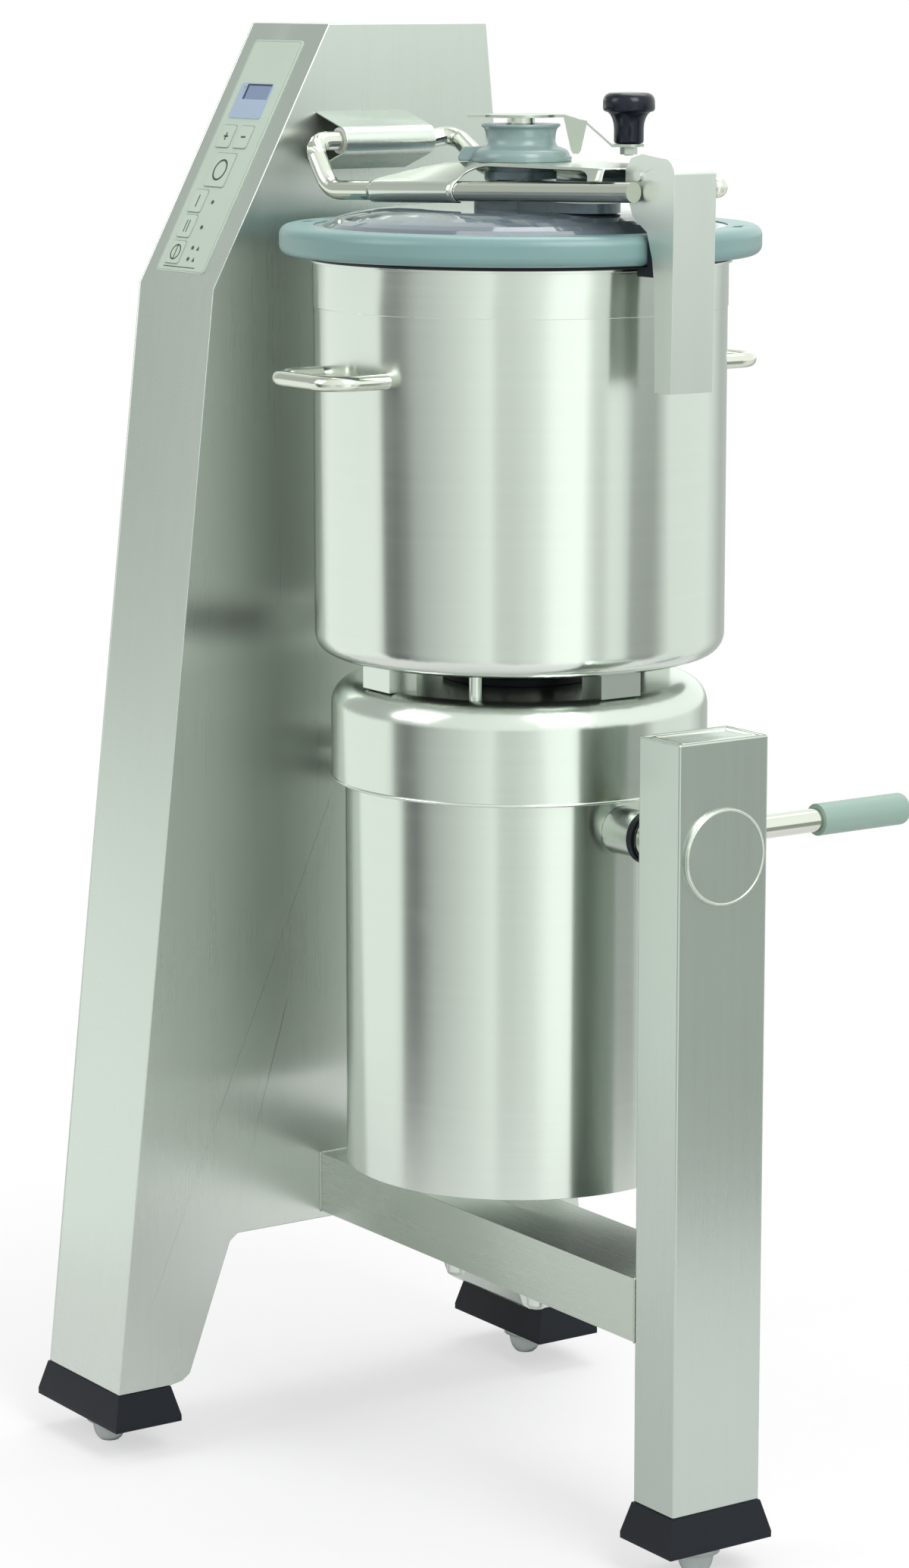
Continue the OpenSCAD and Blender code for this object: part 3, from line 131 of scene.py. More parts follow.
class Recipe:
    """The node tree of one material or of the world."""

    def __init__(self, owner, output="ShaderNodeOutputMaterial"):
        owner.use_nodes = True
        self.tree = owner.node_tree
        self.tree.nodes.clear()
        self.output = output

    def math(self, operation, *inputs):
        return self.node("ShaderNodeMath", {"operation": operation}, dict(enumerate(inputs)))

    def node(self, kind, settings=None, inputs=None, output=0):
        made = self.tree.nodes.new(kind)
        for name, value in (settings or {}).items():
            if name == "stops":
                ramp = made.color_ramp
                while len(ramp.elements) < len(value):
                    ramp.elements.new(0.5)
                for element, (place, colour) in zip(ramp.elements, value):
                    element.position, element.color = place, (*colour, 1)
            elif name == "ramp":
                made.color_ramp.interpolation = value
            else:
                setattr(made, name, value)
        for name, value in (inputs or {}).items():
            socket = made.inputs[name]
            if isinstance(value, Wire):
                self.tree.links.new(value.socket, socket)
            elif isinstance(value, tuple) and len(value) == 3 and socket.type == "RGBA":
                socket.default_value = (*value, 1)
            else:
                socket.default_value = value
        return None if output is None else Wire(self, made.outputs[output])

    def grey(self, level):
        return self.node("ShaderNodeCombineColor", None, {0: level, 1: level, 2: level})

    def place(self):
        """x, y and z of the surface point in the part's frame."""
        point = self.node("ShaderNodeTexCoord", output="Object")
        return tuple(self.node("ShaderNodeSeparateXYZ", None, {0: point}, axis) for axis in range(3))

    def vector(self, x, y, z):
        return self.node("ShaderNodeCombineXYZ", None, {0: x, 1: y, 2: z})

    def noise(self, vector, scale=1.0, detail=3.0, rough=0.55):
        sockets = {"Vector": vector, "Scale": scale, "Detail": detail, "Roughness": rough}
        return self.node("ShaderNodeTexNoise", None, sockets)

    def mix(self, share, first, second, blend="MIX"):
        sockets = {0: share, 6: first, 7: second}
        return self.node("ShaderNodeMix", {"data_type": "RGBA", "blend_type": blend}, sockets, 2)

    def bump(self, height, distance, strength=1.0):
        sockets = {"Height": height, "Distance": distance, "Strength": strength}
        return self.node("ShaderNodeBump", None, sockets)

    def surface(self, shader):
        self.node(self.output, None, {"Surface": shader}, None)


VIEWPORT_GREY = (0.7, 0.7, 0.7, 1)


def material(name, build, **facts):
    """A named material whose Principled sockets come from build(recipe)."""
    made = bpy.data.materials.new(name)
    recipe = Recipe(made)
    recipe.surface(recipe.node("ShaderNodeBsdfPrincipled", None, build(recipe, **facts)))
    made.diffuse_color = VIEWPORT_GREY
    return made


AXIS = (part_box("bowl")[0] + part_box("bowl")[1]) / 2
# Radius at which the grain that runs round the axis is measured, on a wall and on a disc
WALL_GRAIN_R = 0.19
DISC_GRAIN_R = 0.1
# Streaks per metre along and across the grain
WIDE_STREAKS = (0.35, 120)
FINE_STREAKS = (5, 1800)


def along_grain(r, grain):
    """Place measured along the grain and across it, in metres. round and disc run about the bowl's axis."""
    x, y, z = r.place()
    if grain in ("round", "disc"):
        turn = r.math("ARCTAN2", y - AXIS.y, x - AXIS.x)
        if grain == "round":
            return turn * WALL_GRAIN_R, z, 0.0
        return turn * DISC_GRAIN_R, (((x - AXIS.x) ** 2) + ((y - AXIS.y) ** 2)) ** 0.5, 0.0
    return {"x": (x, y, z), "y": (y, x, z), "z": (z, x, y)}[grain]


def streaks(r, grain, density, detail):
    """Noise drawn out along the grain, from -0.5 to 0.5."""
    along, across, other = along_grain(r, grain)
    lengthwise, crosswise = density
    return r.noise(r.vector(along * lengthwise, across * crosswise, other * crosswise), detail=detail) - 0.5


def brushed(r, colour, grain, rough, streak=1.0, turn=0.0, stretch=0.5):
    """Stainless sheet: fine streaks along the grain, soft clouds and a few finger marks."""
    wide = streaks(r, grain, WIDE_STREAKS, 2)
    fine = streaks(r, grain, FINE_STREAKS, 1)
    x, y, z = r.place()
    cloud = r.noise(r.vector(x, y, z), 4.5, 3) - 0.5
    smear = r.noise(r.vector(x * 1.3, y * 1.1, z * 0.8), 14, 2).rise(0.6, 0.78)
    level = 0.97 + (wide * 0.035 + fine * 0.03) * streak + cloud * 0.04
    return {
        "Base Color": r.mix(1.0, colour, r.grey(level), "MULTIPLY"),
        "Metallic": 1.0,
        "Roughness": (rough + (wide + fine) * 0.025 * streak + smear * 0.02 + cloud * 0.03).clip(),
        "Anisotropic": stretch,
        "Anisotropic Rotation": turn,
        "Normal": r.bump(fine, 0.00001, 0.2 * streak),
    }


def moulded(r, colour, rough, grain=0.25, mottle=0.05, coat=0.0, shine=0.5):
    """Moulded plastic or rubber: a faint orange-peel skin and slight colour clouds."""
    x, y, z = r.place()
    skin = r.noise(r.vector(x, y, z), 900, 2)
    cloud = r.noise(r.vector(x, y, z), 14, 3) - 0.5
    return {
        "Base Color": r.mix(1.0, colour, r.grey(1 + cloud * mottle * 2), "MULTIPLY"),
        "Roughness": (rough + cloud * 0.1 + (skin - 0.5) * 0.05).clip(),
        "Coat Weight": coat,
        "Coat Roughness": 0.08,
        "Specular IOR Level": shine,
        "Normal": r.bump(skin, 0.00008, grain),
    }


def clear_plastic(r, colour, rough, transmission):
    """See-through plastic with faint polishing swirls."""
    x, y, z = r.place()
    swirl = r.noise(r.vector(x, y, z), 9, 2)
    return {
        "Base Color": colour,
        "Roughness": (rough + (swirl - 0.5) * 0.04).clip(),
        "Transmission Weight": transmission,
        "IOR": 1.45,
        "Normal": r.bump(swirl, 0.0006, 0.08),
    }


STEEL = (0.60, 0.64, 0.60)
MATERIALS = {
    "frame_steel": material("frame_steel_upright", brushed, colour=STEEL, grain="z", rough=0.28,
                            stretch=0.55),
    "post_steel": material("post_steel_upright", brushed, colour=(0.49, 0.54, 0.50), grain="z", rough=0.28,
                           stretch=0.55),
    "frame_level": material("frame_steel_level", brushed, colour=(0.50, 0.545, 0.49), grain="x", rough=0.27,
                            turn=0.25, stretch=0.4),
    "housing_steel": material("housing_steel_round", brushed, colour=(0.615, 0.655, 0.61), grain="round",
                              rough=0.2, turn=0.25, stretch=0.65),
    "bowl_steel": material("bowl_steel_round", brushed, colour=(0.635, 0.67, 0.63), grain="round", rough=0.17,
                           turn=0.25, stretch=0.65),
    "lid_steel": material("lid_steel_satin", brushed, colour=(0.61, 0.64, 0.585), grain="x", rough=0.22,
                          streak=0.5, stretch=0.2),
    "tube_steel": material("tube_steel_polished", brushed, colour=(0.63, 0.645, 0.58), grain="x", rough=0.13,
                           streak=0.25, stretch=0.0),
    "crank_steel": material("crank_steel_satin", brushed, colour=(0.40, 0.44, 0.385), grain="x", rough=0.3,
                            streak=0.5, stretch=0.0),
    "latch_steel": material("latch_steel_satin", brushed, colour=(0.68, 0.715, 0.675), grain="z", rough=0.32,
                            streak=0.5, stretch=0.3),
    "fastener_steel": material("fastener_steel", brushed, colour=(0.45, 0.48, 0.44), grain="x", rough=0.35,
                               stretch=0.0),
    "cast_aluminium": material("cast_aluminium", brushed, colour=(0.52, 0.53, 0.53), grain="y", rough=0.48,
                               stretch=0.0),
    "bush_brass": material("bush_brass", brushed, colour=(0.62, 0.46, 0.18), grain="x", rough=0.32,
                           stretch=0.0),
    "core_steel": material("core_steel", brushed, colour=(0.33, 0.25, 0.18), grain="z", rough=0.5,
                           stretch=0.0),
    "bearing_steel": material("bearing_steel", brushed, colour=(0.6, 0.6, 0.6), grain="round", rough=0.18,
                              stretch=0.0),
    "shaft_steel": material("shaft_steel", brushed, colour=(0.55, 0.56, 0.54), grain="round", rough=0.22,
                            stretch=0.0),
    "blade_steel": material("blade_steel", brushed, colour=(0.62, 0.64, 0.61), grain="disc", rough=0.16,
                            stretch=0.2),
    "grey_plastic": material("grey_plastic", moulded, colour=(0.165, 0.285, 0.28), rough=0.38, coat=0.08),
    "spool_plastic": material("spool_plastic", moulded, colour=(0.20, 0.285, 0.28), rough=0.3, coat=0.15),
    "hub_plastic": material("hub_plastic", moulded, colour=(0.15, 0.225, 0.26), rough=0.28, coat=0.2),
    "grip_plastic": material("grip_plastic", moulded, colour=(0.265, 0.375, 0.325), rough=0.45),
    "black_rubber": material("black_rubber", moulded, colour=(0.007, 0.009, 0.014), rough=0.5, grain=0.4,
                             shine=0.2),
    "glide_plastic": material("glide_plastic", clear_plastic, colour=(0.62, 0.68, 0.66), rough=0.3,
                              transmission=0.5),
    "dome_clear": material("dome_clear", clear_plastic, colour=(0.27, 0.33, 0.38), rough=0.05,
                           transmission=0.6),
    "wiper_plastic": material("wiper_plastic", moulded, colour=(0.6, 0.62, 0.6), rough=0.4),
    "fan_plastic": material("fan_plastic", moulded, colour=(0.03, 0.03, 0.035), rough=0.5),
    "bush_plastic": material("bush_plastic", moulded, colour=(0.5, 0.5, 0.47), rough=0.4),
    "knob_black": material("knob_black", moulded, colour=(0.004, 0.006, 0.014), rough=0.24, grain=0.05,
                           coat=0.2, shine=0.2),
    "panel_film": material("panel_film", moulded, colour=(0.45, 0.535, 0.455), rough=0.45, grain=0.12),
    "key_film": material("key_film", moulded, colour=(0.46, 0.545, 0.465), rough=0.42, grain=0.12),
    "display_glass": material("display_glass", moulded, colour=(0.33, 0.42, 0.55), rough=0.16, coat=0.4),
    "lcd_dark": material("lcd_dark", moulded, colour=(0.17, 0.23, 0.36), rough=0.2, coat=0.4),
    # Near-black sheet for painted shade along the display window's left and upper edges
    "painted_display_shade": material("painted_display_shade", moulded, colour=(0.012, 0.02, 0.06), rough=0.3),
    "print_ink": material("print_ink", moulded, colour=(0.035, 0.045, 0.035), rough=0.5),
    "key_line": material("key_line", moulded, colour=(0.27, 0.33, 0.275), rough=0.5),
    "lamp_lens": material("lamp_lens", moulded, colour=(0.03, 0.04, 0.03), rough=0.2, coat=0.4),
    # Base plate under the motor casing: near-black and matte, in place of its cast aluminium
    "near_black_base": material("near_black_base", moulded, colour=(0.03, 0.036, 0.03), rough=0.55),
    "board_green": material("board_green", moulded, colour=(0.02, 0.1, 0.04), rough=0.4),
    "weld_bead": material("weld_bead", brushed, colour=(0.46, 0.49, 0.43), grain="y", rough=0.36,
                          stretch=0.0),
}
# Nodes whose finish differs from their slot's usual one
FINISH_OF = {"cross_beam": "frame_level", "post_tube": "post_steel", "post_cap": "post_steel",
             "pivot_cap": "post_steel", "lid_hub": "hub_plastic", "lever_grip": "grip_plastic",
             "latch_lever": "latch_steel", "latch_pin": "latch_steel", "lid_frame": "tube_steel",
             "bowl_handles": "tube_steel", "base_plate": "near_black_base",
             "crank_arm": "crank_steel", "tilt_lever": "tube_steel"}


# Sharpest turn, in degrees, that still counts as one curved face
SMOOTH_ANGLE = 32
SAME_POINT = 0.002 * MM


def round_edges(node, width):
    """Rounds a node's sharp edges by width millimetres, with clean shading."""
    part = NODES[node]
    weld = part.modifiers.new("weld", "WELD")
    weld.merge_threshold = SAME_POINT
    bevel = part.modifiers.new("edges", "BEVEL")
    bevel.width = width * MM
    bevel.segments = 2
    bevel.limit_method = "ANGLE"
    bevel.angle_limit = math.radians(SMOOTH_ANGLE)
    bevel.face_strength_mode = "FSTR_ALL"
    normals = part.modifiers.new("normals", "WEIGHTED_NORMAL")
    normals.use_face_influence = True


EDGES = {"column_shell": 1.2, "column_cover": 1.2, "post_tube": 2.0, "cross_beam": 1.6, "pivot_cap": 0.5,
         "leg_boots": 1.6, "post_boot": 1.6, "hinge_bracket": 0.6, "latch_lever": 1.1, "crank_arm": 0.35,
         "lid_hub": 0.6, "bowl_seats": 1.2, "lid_ring": 0.6, "lid_gasket": 0.3, "lever_grip": 1.0,
         "tilt_lever": 0.8, "tilt_shafts": 0.6, "bowl": 0.35, "housing_cap": 0.5, "motor_casing": 0.5,
         "control_panel": 0.25, "post_cap": 0.4, "levelling_glides": 0.6, "boss_rings": 0.8,
         "beam_buffers": 0.8, "cover_screws": 0.4, "latch_pad": 0.8, "latch_pin": 0.4, "knob_screw": 0.4,
         "blade_rotor": 0.2, "base_plate": 0.4, "drive_seal": 0.8, "cable_gland": 0.6,
         "display_window": 0.15}


def dress_nodes():
    """Gives each node its finish and its rounded edges."""
    slots = {s["node"]: s["material_slot"] for s in frame["record"]["subparts"]}
    for node, part in NODES.items():
        finish = MATERIALS[FINISH_OF.get(node, slots[node])]
        part.data.materials.clear()
        part.data.materials.append(finish)
    for node, width in EDGES.items():
        round_edges(node, width)


def piece(name, body, finish, mesh_builder, smooth=60):
    """A new piece from a bmesh that mesh_builder fills, riding on a body."""
    bm = bmesh.new()
    mesh_builder(bm)
    bmesh.ops.recalc_face_normals(bm, faces=bm.faces)
    data = bpy.data.meshes.new(name)
    bm.to_mesh(data)
    bm.free()
    data.materials.append(MATERIALS[finish])
    data.polygons.foreach_set("use_smooth", [True] * len(data.polygons))
    data.set_sharp_from_angle(angle=math.radians(smooth))
    made = bpy.data.objects.new(name, data)
    bpy.context.scene.collection.objects.link(made)
    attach(made, body)
    return made


class Slope:
    """The control panel's plane: x to the right and y up the slope from the panel's lower left corner."""

    def __init__(self):
        mesh = NODES["control_panel"].data
        biggest = max((p for p in mesh.polygons if p.normal.z > 0.1), key=lambda p: p.area)
        self.out = biggest.normal.normalized()
        self.right = Vector((1, 0, 0))
        self.up = self.out.cross(self.right).normalized()
        self.base = Vector((0, 0, 0))
        x, y, n = self.spans("control_panel")
        self.base = self.right * x[0] + self.up * y[0] + self.out * n[0]

    def spans(self, node):
        points = [v.co - self.base for v in NODES[node].data.vertices]
        axes = (self.right, self.up, self.out)
        return [(min(p.dot(a) for p in points), max(p.dot(a) for p in points)) for a in axes]

    def at(self, x, y, n):
        return self.base + self.right * x + self.up * y + self.out * n


def join(bm, a, b):
    """Faces between two closed rings of as many points each."""
    for i in range(len(a)):
        bm.faces.new((a[i - 1], a[i], b[i], b[i - 1]))


def hoop(bm, rings):
    """Closed surface through rings, where the last ring joins the first."""
    for a, b in zip(rings, rings[1:] + rings[:1]):
        join(bm, a, b)


def plate(bm, slope, outline, low, high):
    """Flat prism over an outline on the panel, between two heights."""
    bottom = [bm.verts.new(slope.at(x, y, low)) for x, y in outline]
    top = [bm.verts.new(slope.at(x, y, high)) for x, y in outline]
    bm.faces.new(top)
    bm.faces.new(bottom[::-1])
    join(bm, bottom, top)


def band(bm, slope, outer, inner, low, high):
    """Closed frame between two outlines on the panel, with as many points each."""
    hoop(bm, [[bm.verts.new(slope.at(x, y, n)) for x, y in line]
              for line, n in ((outer, low), (outer, high), (inner, high), (inner, low))])


def box_outline(x, y, w, h):
    """Corners of a rectangle about its middle."""
    return [(x - w / 2, y - h / 2), (x + w / 2, y - h / 2), (x + w / 2, y + h / 2), (x - w / 2, y + h / 2)]


def soft_outline(x, y, w, h, r, steps=5):
    """Rectangle about its middle, with corners of radius r."""
    points = []
    for k, (sx, sy) in enumerate(((1, -1), (1, 1), (-1, 1), (-1, -1))):
        for i in range(steps + 1):
            a = math.radians(-90 + 90 * k + 90 * i / steps)
            points.append((x + sx * (w / 2 - r) + r * math.cos(a), y + sy * (h / 2 - r) + r * math.sin(a)))
    return points


def round_outline(x, y, r, steps=36):
    """Circle about its middle."""
    turn = math.tau / steps
    return [(x + r * math.cos(i * turn), y + r * math.sin(i * turn)) for i in range(steps)]


# Printed signs: thickness of the ink, and the sizes of the signs
INK = 0.12 * MM
SIGN_SPAN = 8.0 * MM
SIGN_LINE = 1.8 * MM
STROKE_SPAN = 13 * MM
ONE_LINE = 1.5 * MM
TWO_LINE = 1.3 * MM
TWO_APART = 4.8 * MM
STOP_RING = (11.5 * MM, 9.4 * MM)
PULSE_RING = (8.4 * MM, 6.9 * MM)
PULSE_SPAN = 14 * MM


def bar(bm, slope, x, y, n, w, h, coats=1.0):
    """Printed rectangle about x, y."""
    plate(bm, slope, box_outline(x, y, w, h), n, n + INK * coats)


def ring(bm, slope, x, y, n, radii):
    """Printed ring about x, y between two radii."""
    band(bm, slope, round_outline(x, y, radii[0]), round_outline(x, y, radii[1]), n, n + INK)


def plus_sign(bm, slope, x, y, n):
    bar(bm, slope, x, y, n, SIGN_SPAN, SIGN_LINE)
    bar(bm, slope, x, y, n, SIGN_LINE, SIGN_SPAN, 1.2)


def minus_sign(bm, slope, x, y, n):
    bar(bm, slope, x, y, n, SIGN_SPAN, SIGN_LINE)


def stop_ring(bm, slope, x, y, n):
    ring(bm, slope, x, y, n, STOP_RING)


def one_stroke(bm, slope, x, y, n):
    bar(bm, slope, x, y, n, ONE_LINE, STROKE_SPAN)


def two_strokes(bm, slope, x, y, n):
    for side in (-1, 1):
        bar(bm, slope, x + side * TWO_APART / 2, y, n, TWO_LINE, STROKE_SPAN)


def pulse_sign(bm, slope, x, y, n):
    ring(bm, slope, x, y, n, PULSE_RING)
    bar(bm, slope, x, y, n, TWO_LINE, PULSE_SPAN, 1.2)


KEY_SIGNS = {"key_plus": ("plus_sign", plus_sign), "key_minus": ("minus_sign", minus_sign),
             "key_stop": ("stop_ring", stop_ring), "key_speed_one": ("one_stroke", one_stroke),
             "key_speed_two": ("two_strokes", two_strokes), "key_pulse": ("pulse_sign", pulse_sign)}


def frame_line(bm, slope, node, n, grow, width, radius, coats=1.0):
    """Printed line round a node, its outer edge grow wider than the node in all."""
    (x0, x1), (y0, y1), _ = slope.spans(node)
    x, y, w, h = (x0 + x1) / 2, (y0 + y1) / 2, x1 - x0 + grow, y1 - y0 + grow
    inner = soft_outline(x, y, w - 2 * width, h - 2 * width, radius[1])
    band(bm, slope, soft_outline(x, y, w, h, radius[0]), inner, n, n + INK * coats)


def key_outlines(bm, slope, top):
    """Fine lines round each key and just inside the panel's edge."""
    for node in KEY_SIGNS:
        frame_line(bm, slope, node, top, 2.2 * MM, 0.5 * MM, (3.2 * MM, 2.8 * MM))
    frame_line(bm, slope, "control_panel", top, -2.4 * MM, 0.5 * MM, (4 * MM, 3.5 * MM), 0.6)


def display_prints(slope):
    """Darker field on the display window, and painted shade along its left and upper edges."""
    (x0, x1), (y0, y1), (_, glass) = slope.spans("display_window")
    w, h = x1 - x0, y1 - y0
    left, right, foot, head = x0 + 0.26 * w, x1 - 0.03 * w, y0 + 0.54 * h, y1 - 0.03 * h
    edge, under = left - 3.4 * MM, head - 1.8 * MM

    def box(bm, x0, y0, x1, y1, coats):
        plate(bm, slope, [(x0, y0), (x1, y0), (x1, y1), (x0, y1)], glass, glass + INK * coats)

    # Painted shade: dark strips laid on the glass along the window's left and upper edges
    def shade(bm):
        box(bm, edge, foot, left, head, 1.3)
        box(bm, edge, under, right, head, 1.6)

    def field(bm):
        box(bm, left, foot, right, head, 1)
    piece("display_field", "stand", "lcd_dark", field)
    piece("display_shade", "stand", "painted_display_shade", shade)


# Arrows beside the lamps: places from the panel's lower left corner, and half their width
ARROWS = ((61 * MM, 26 * MM), (61 * MM, 14 * MM))
ARROW_HALF = 2.4 * MM


def lamp_arrows(bm, slope, top):
    for x, y in ARROWS:
        left, right, foot = x - ARROW_HALF, x + ARROW_HALF, y - ARROW_HALF
        plate(bm, slope, [(left, foot), (right, foot), (x, y + ARROW_HALF)], top, top + INK)


def panel_foot_line(bm, slope, top):
    (x0, x1), (y0, _), _ = slope.spans("control_panel")
    bar(bm, slope, x0 + 0.46 * (x1 - x0), y0 + 5 * MM, top, 0.66 * (x1 - x0), 0.9 * MM)


def print_panel():
    """Signs on the keys, lines round them, the display's field and the arrows beside the lamps."""
    slope = Slope()
    for key, (name, draw) in KEY_SIGNS.items():
        (x0, x1), (y0, y1), (_, n) = slope.spans(key)
        x, y = (x0 + x1) / 2, (y0 + y1) / 2
        piece(name, key, "print_ink", lambda bm: draw(bm, slope, x, y, n))
    top = slope.spans("control_panel")[2][1]
    piece("key_outlines", "stand", "key_line", lambda bm: key_outlines(bm, slope, top))
    display_prints(slope)
    piece("lamp_arrows", "stand", "print_ink", lambda bm: lamp_arrows(bm, slope, top))
    piece("panel_foot_line", "stand", "print_ink", lambda bm: panel_foot_line(bm, slope, top))


def turned(bm, centre, profile, steps=96):
    """Body of revolution about an upright axis. The profile holds radius and height in millimetres."""
    turns = [(math.cos(math.tau * k / steps), math.sin(math.tau * k / steps)) for k in range(steps)]
    rings = []
    for radius, height in profile:
        if radius == 0:
            rings.append([bm.verts.new(centre + Vector((0, 0, height)) * MM)] * steps)
        else:
            places = [Vector((radius * c, radius * s, height)) * MM for c, s in turns]
            rings.append([bm.verts.new(centre + place) for place in places])
    for low_ring, high_ring in zip(rings, rings[1:]):
        for k in range(steps):
            corners = []
            for vert in (low_ring[k - 1], low_ring[k], high_ring[k], high_ring[k - 1]):
                if vert not in corners:
                    corners.append(vert)
            if len(corners) > 2:
                bm.faces.new(corners)


def bow(centre, radius, start, end, steps):
    """Points of an arc, with its angles in degrees."""
    angles = [math.radians(start + (end - start) * k / steps) for k in range(steps + 1)]
    return [(centre[0] + radius * math.cos(a), centre[1] + radius * math.sin(a)) for a in angles]


def between(stops, x):
    """Values at x on a line through stops, each an x with its values."""
    for (x0, first), (x1, second) in zip(stops, stops[1:]):
        if x <= x1:
            share = max(0.0, (x - x0) / (x1 - x0))
            return tuple(a + (b - a) * share for a, b in zip(first, second))
    return stops[-1][1]


# Lid saddle, in millimetres of spot(): the frame's two tubes and the sheet between them
TUBE_R = 9.25
SHEET = 1.5
SADDLE_TOP = 1276.7
FRONT_TUBE = [(70, (-27.5, 1245)), (494, (16.45, 1258))]
REAR_TUBE = [(110, (123.5, 1266)), (528, (82.55, 1262))]
WRAP_ENDS = (138, 261)
WINDOW_END = 291
WINDOW_SHUT = (424, 440)
WINDOW_DEPTH = 0.84
SADDLE_END, TONGUE_END = 458, 486
SLOPE_START, SLOPE_END = 160, 228
TONGUE_ROWS = (29.3, 49.5, 69.7)
SLOPE_REAR = 89.5
# Stations along x with y and z: the fold above the front tube, and the top plate's front edge
FOLD = [(WRAP_ENDS[0], (-24, 1256.8)), (SLOPE_START, (6.5, 1266.6)), (208, (4.5, 1273.1)),
        (WRAP_ENDS[1], (3.5, SADDLE_TOP)), (SADDLE_END, (11, SADDLE_TOP))]
FRONT_EDGE = [(SLOPE_START, (27, 1268.6)), (208, (14.8, 1274.2)), (WRAP_ENDS[1], (5, SADDLE_TOP)),
              (SADDLE_END, (13, SADDLE_TOP))]
# Degrees round the front tube, from its top: the wrap starts underneath and leaves the tube below the fold
WRAP_FROM, WRAP_TO, WRAP_STEP = 180, 30, 15
# Distance under which neighbouring points of the sheet are one
ONE_POINT = 0.02


def spread(start, end, steps):
    """Even values from start to end."""
    return [start + (end - start) * k / steps for k in range(steps + 1)]


def part_way(a, b, share):
    return tuple(first + (second - first) * share for first, second in zip(a, b))


def run(a, b, steps):
    """Even points from a to b."""
    return [part_way(a, b, k / steps) for k in range(steps + 1)]


def wrap(x, angle):
    """y and z on the wrap round the front tube, at an angle from the tube's top."""
    y, z = between(FRONT_TUBE, x)
    reach = TUBE_R + 0.3 + SHEET / 2
    return y - reach * math.sin(math.radians(angle)), z + reach * math.cos(math.radians(angle))


def window_share(x):
    """Share of the fold's height that the window takes away at x."""
    if x < WINDOW_END:
        left = 1 - (x - WRAP_ENDS[1]) / (WINDOW_END - WRAP_ENDS[1])
    else:
        left = min(1.0, max(0.0, (x - WINDOW_SHUT[0]) / (WINDOW_SHUT[1] - WINDOW_SHUT[0])))
    return WINDOW_DEPTH * math.sqrt(1 - left * left)


def rear_edge(x):
    """y of the top plate's rear edge."""
    return SLOPE_REAR if x <= SLOPE_END else between(REAR_TUBE, x)[0] + 3


def plate_line(x):
    """Points across the top plate, from its front edge to its rear edge."""
    y, z = between(FRONT_EDGE, x)
    plate_z = min(SADDLE_TOP, z) if x >= SLOPE_END else z
    rear = rear_edge(x)
    line = [y, (y + TONGUE_ROWS[0]) / 2, *TONGUE_ROWS, (TONGUE_ROWS[2] + rear) / 2, rear]
    return [(point, plate_z) for point in line]


def rear_lip(x):
    """Points down the lip at the top plate's rear edge."""
    y = rear_edge(x)
    return [(y, SADDLE_TOP), (y + 1, SADDLE_TOP - 1), (y + 1.2, SADDLE_TOP - 4)]


def saddle_sheet(bm):
    """Sheet that wraps the front tube, folds up to the top plate and leaves a window beside the hub."""
    def grid(stations, line):
        rows = [[bm.verts.new(spot(x, y, z)) for y, z in line(x)] for x in stations]
        for left, right in zip(rows, rows[1:]):
            for k in range(len(left) - 1):
                bm.faces.new((left[k], right[k], right[k + 1], left[k + 1]))

    def window_line(x):
        shares = spread(window_share(x), 1.0, 6)
        return [part_way(wrap(x, WRAP_TO), between(FOLD, x), share) for share in shares]

    def front_line(x):
        return run(between(FOLD, x), between(FRONT_EDGE, x), 3)

    wrapped = spread(WRAP_ENDS[0], SLOPE_START, 4) + spread(SLOPE_START, WRAP_ENDS[1], 12)[1:]
    sloping = [x for x in wrapped if x >= SLOPE_START]
    windowed = (spread(WRAP_ENDS[1], WINDOW_END, 10) + spread(WINDOW_END, WINDOW_SHUT[0], 10)[1:]
                + spread(*WINDOW_SHUT, 8)[1:] + spread(WINDOW_SHUT[1], SADDLE_END, 2)[1:])
    flat = sloping + windowed[1:]
    grid(wrapped, lambda x: [wrap(x, angle) for angle in range(WRAP_FROM, WRAP_TO - 1, -WRAP_STEP)])
    grid(wrapped, lambda x: run(wrap(x, WRAP_TO), between(FOLD, x), 6))
    grid(sloping, front_line)
    grid(windowed, window_line)
    grid(windowed, front_line)
    grid(flat, plate_line)
    grid(spread(SADDLE_END, TONGUE_END, 2), lambda x: [(y, SADDLE_TOP) for y in TONGUE_ROWS])
    grid([x for x in flat if x > SLOPE_END], rear_lip)
    bmesh.ops.remove_doubles(bm, verts=bm.verts, dist=ONE_POINT * MM)
    bmesh.ops.dissolve_degenerate(bm, edges=bm.edges, dist=ONE_POINT * MM)


def flare(waist, grow, rise, start, end, steps):
    """Hollow of an upright profile that grows wider away from its waist, a radius and a height."""
    angles = [math.radians(a) for a in spread(start, end, steps)]
    return [(waist[0] + grow * (1 - math.cos(a)), waist[1] + rise * math.sin(a)) for a in angles]


# Knuckle at the end of the saddle's tongue, in millimetres
KNUCKLE_R = 6.5
KNUCKLE_PLACE = (488, TONGUE_ROWS[1], 1272)
KNUCKLE_EDGE = 0.6


def saddle_knuckle(bm):
    """Short bar across the end of the saddle's tongue."""
    length = (TONGUE_ROWS[2] - TONGUE_ROWS[0]) * MM
    radius = KNUCKLE_R * MM
    bmesh.ops.create_cone(bm, cap_ends=True, segments=32, radius1=radius, radius2=radius, depth=length)
    sharp = [edge for edge in bm.edges if len(edge.link_faces) == 2 and edge.calc_face_angle() > 1]
    bmesh.ops.bevel(bm, geom=sharp, offset=KNUCKLE_EDGE * MM, segments=2, affect="EDGES")
    turn = Vector((0, 1, 0)).to_track_quat("Z", "Y").to_matrix()
    middle = spot(*KNUCKLE_PLACE)
    for vert in bm.verts:
        vert.co = middle + turn @ vert.co


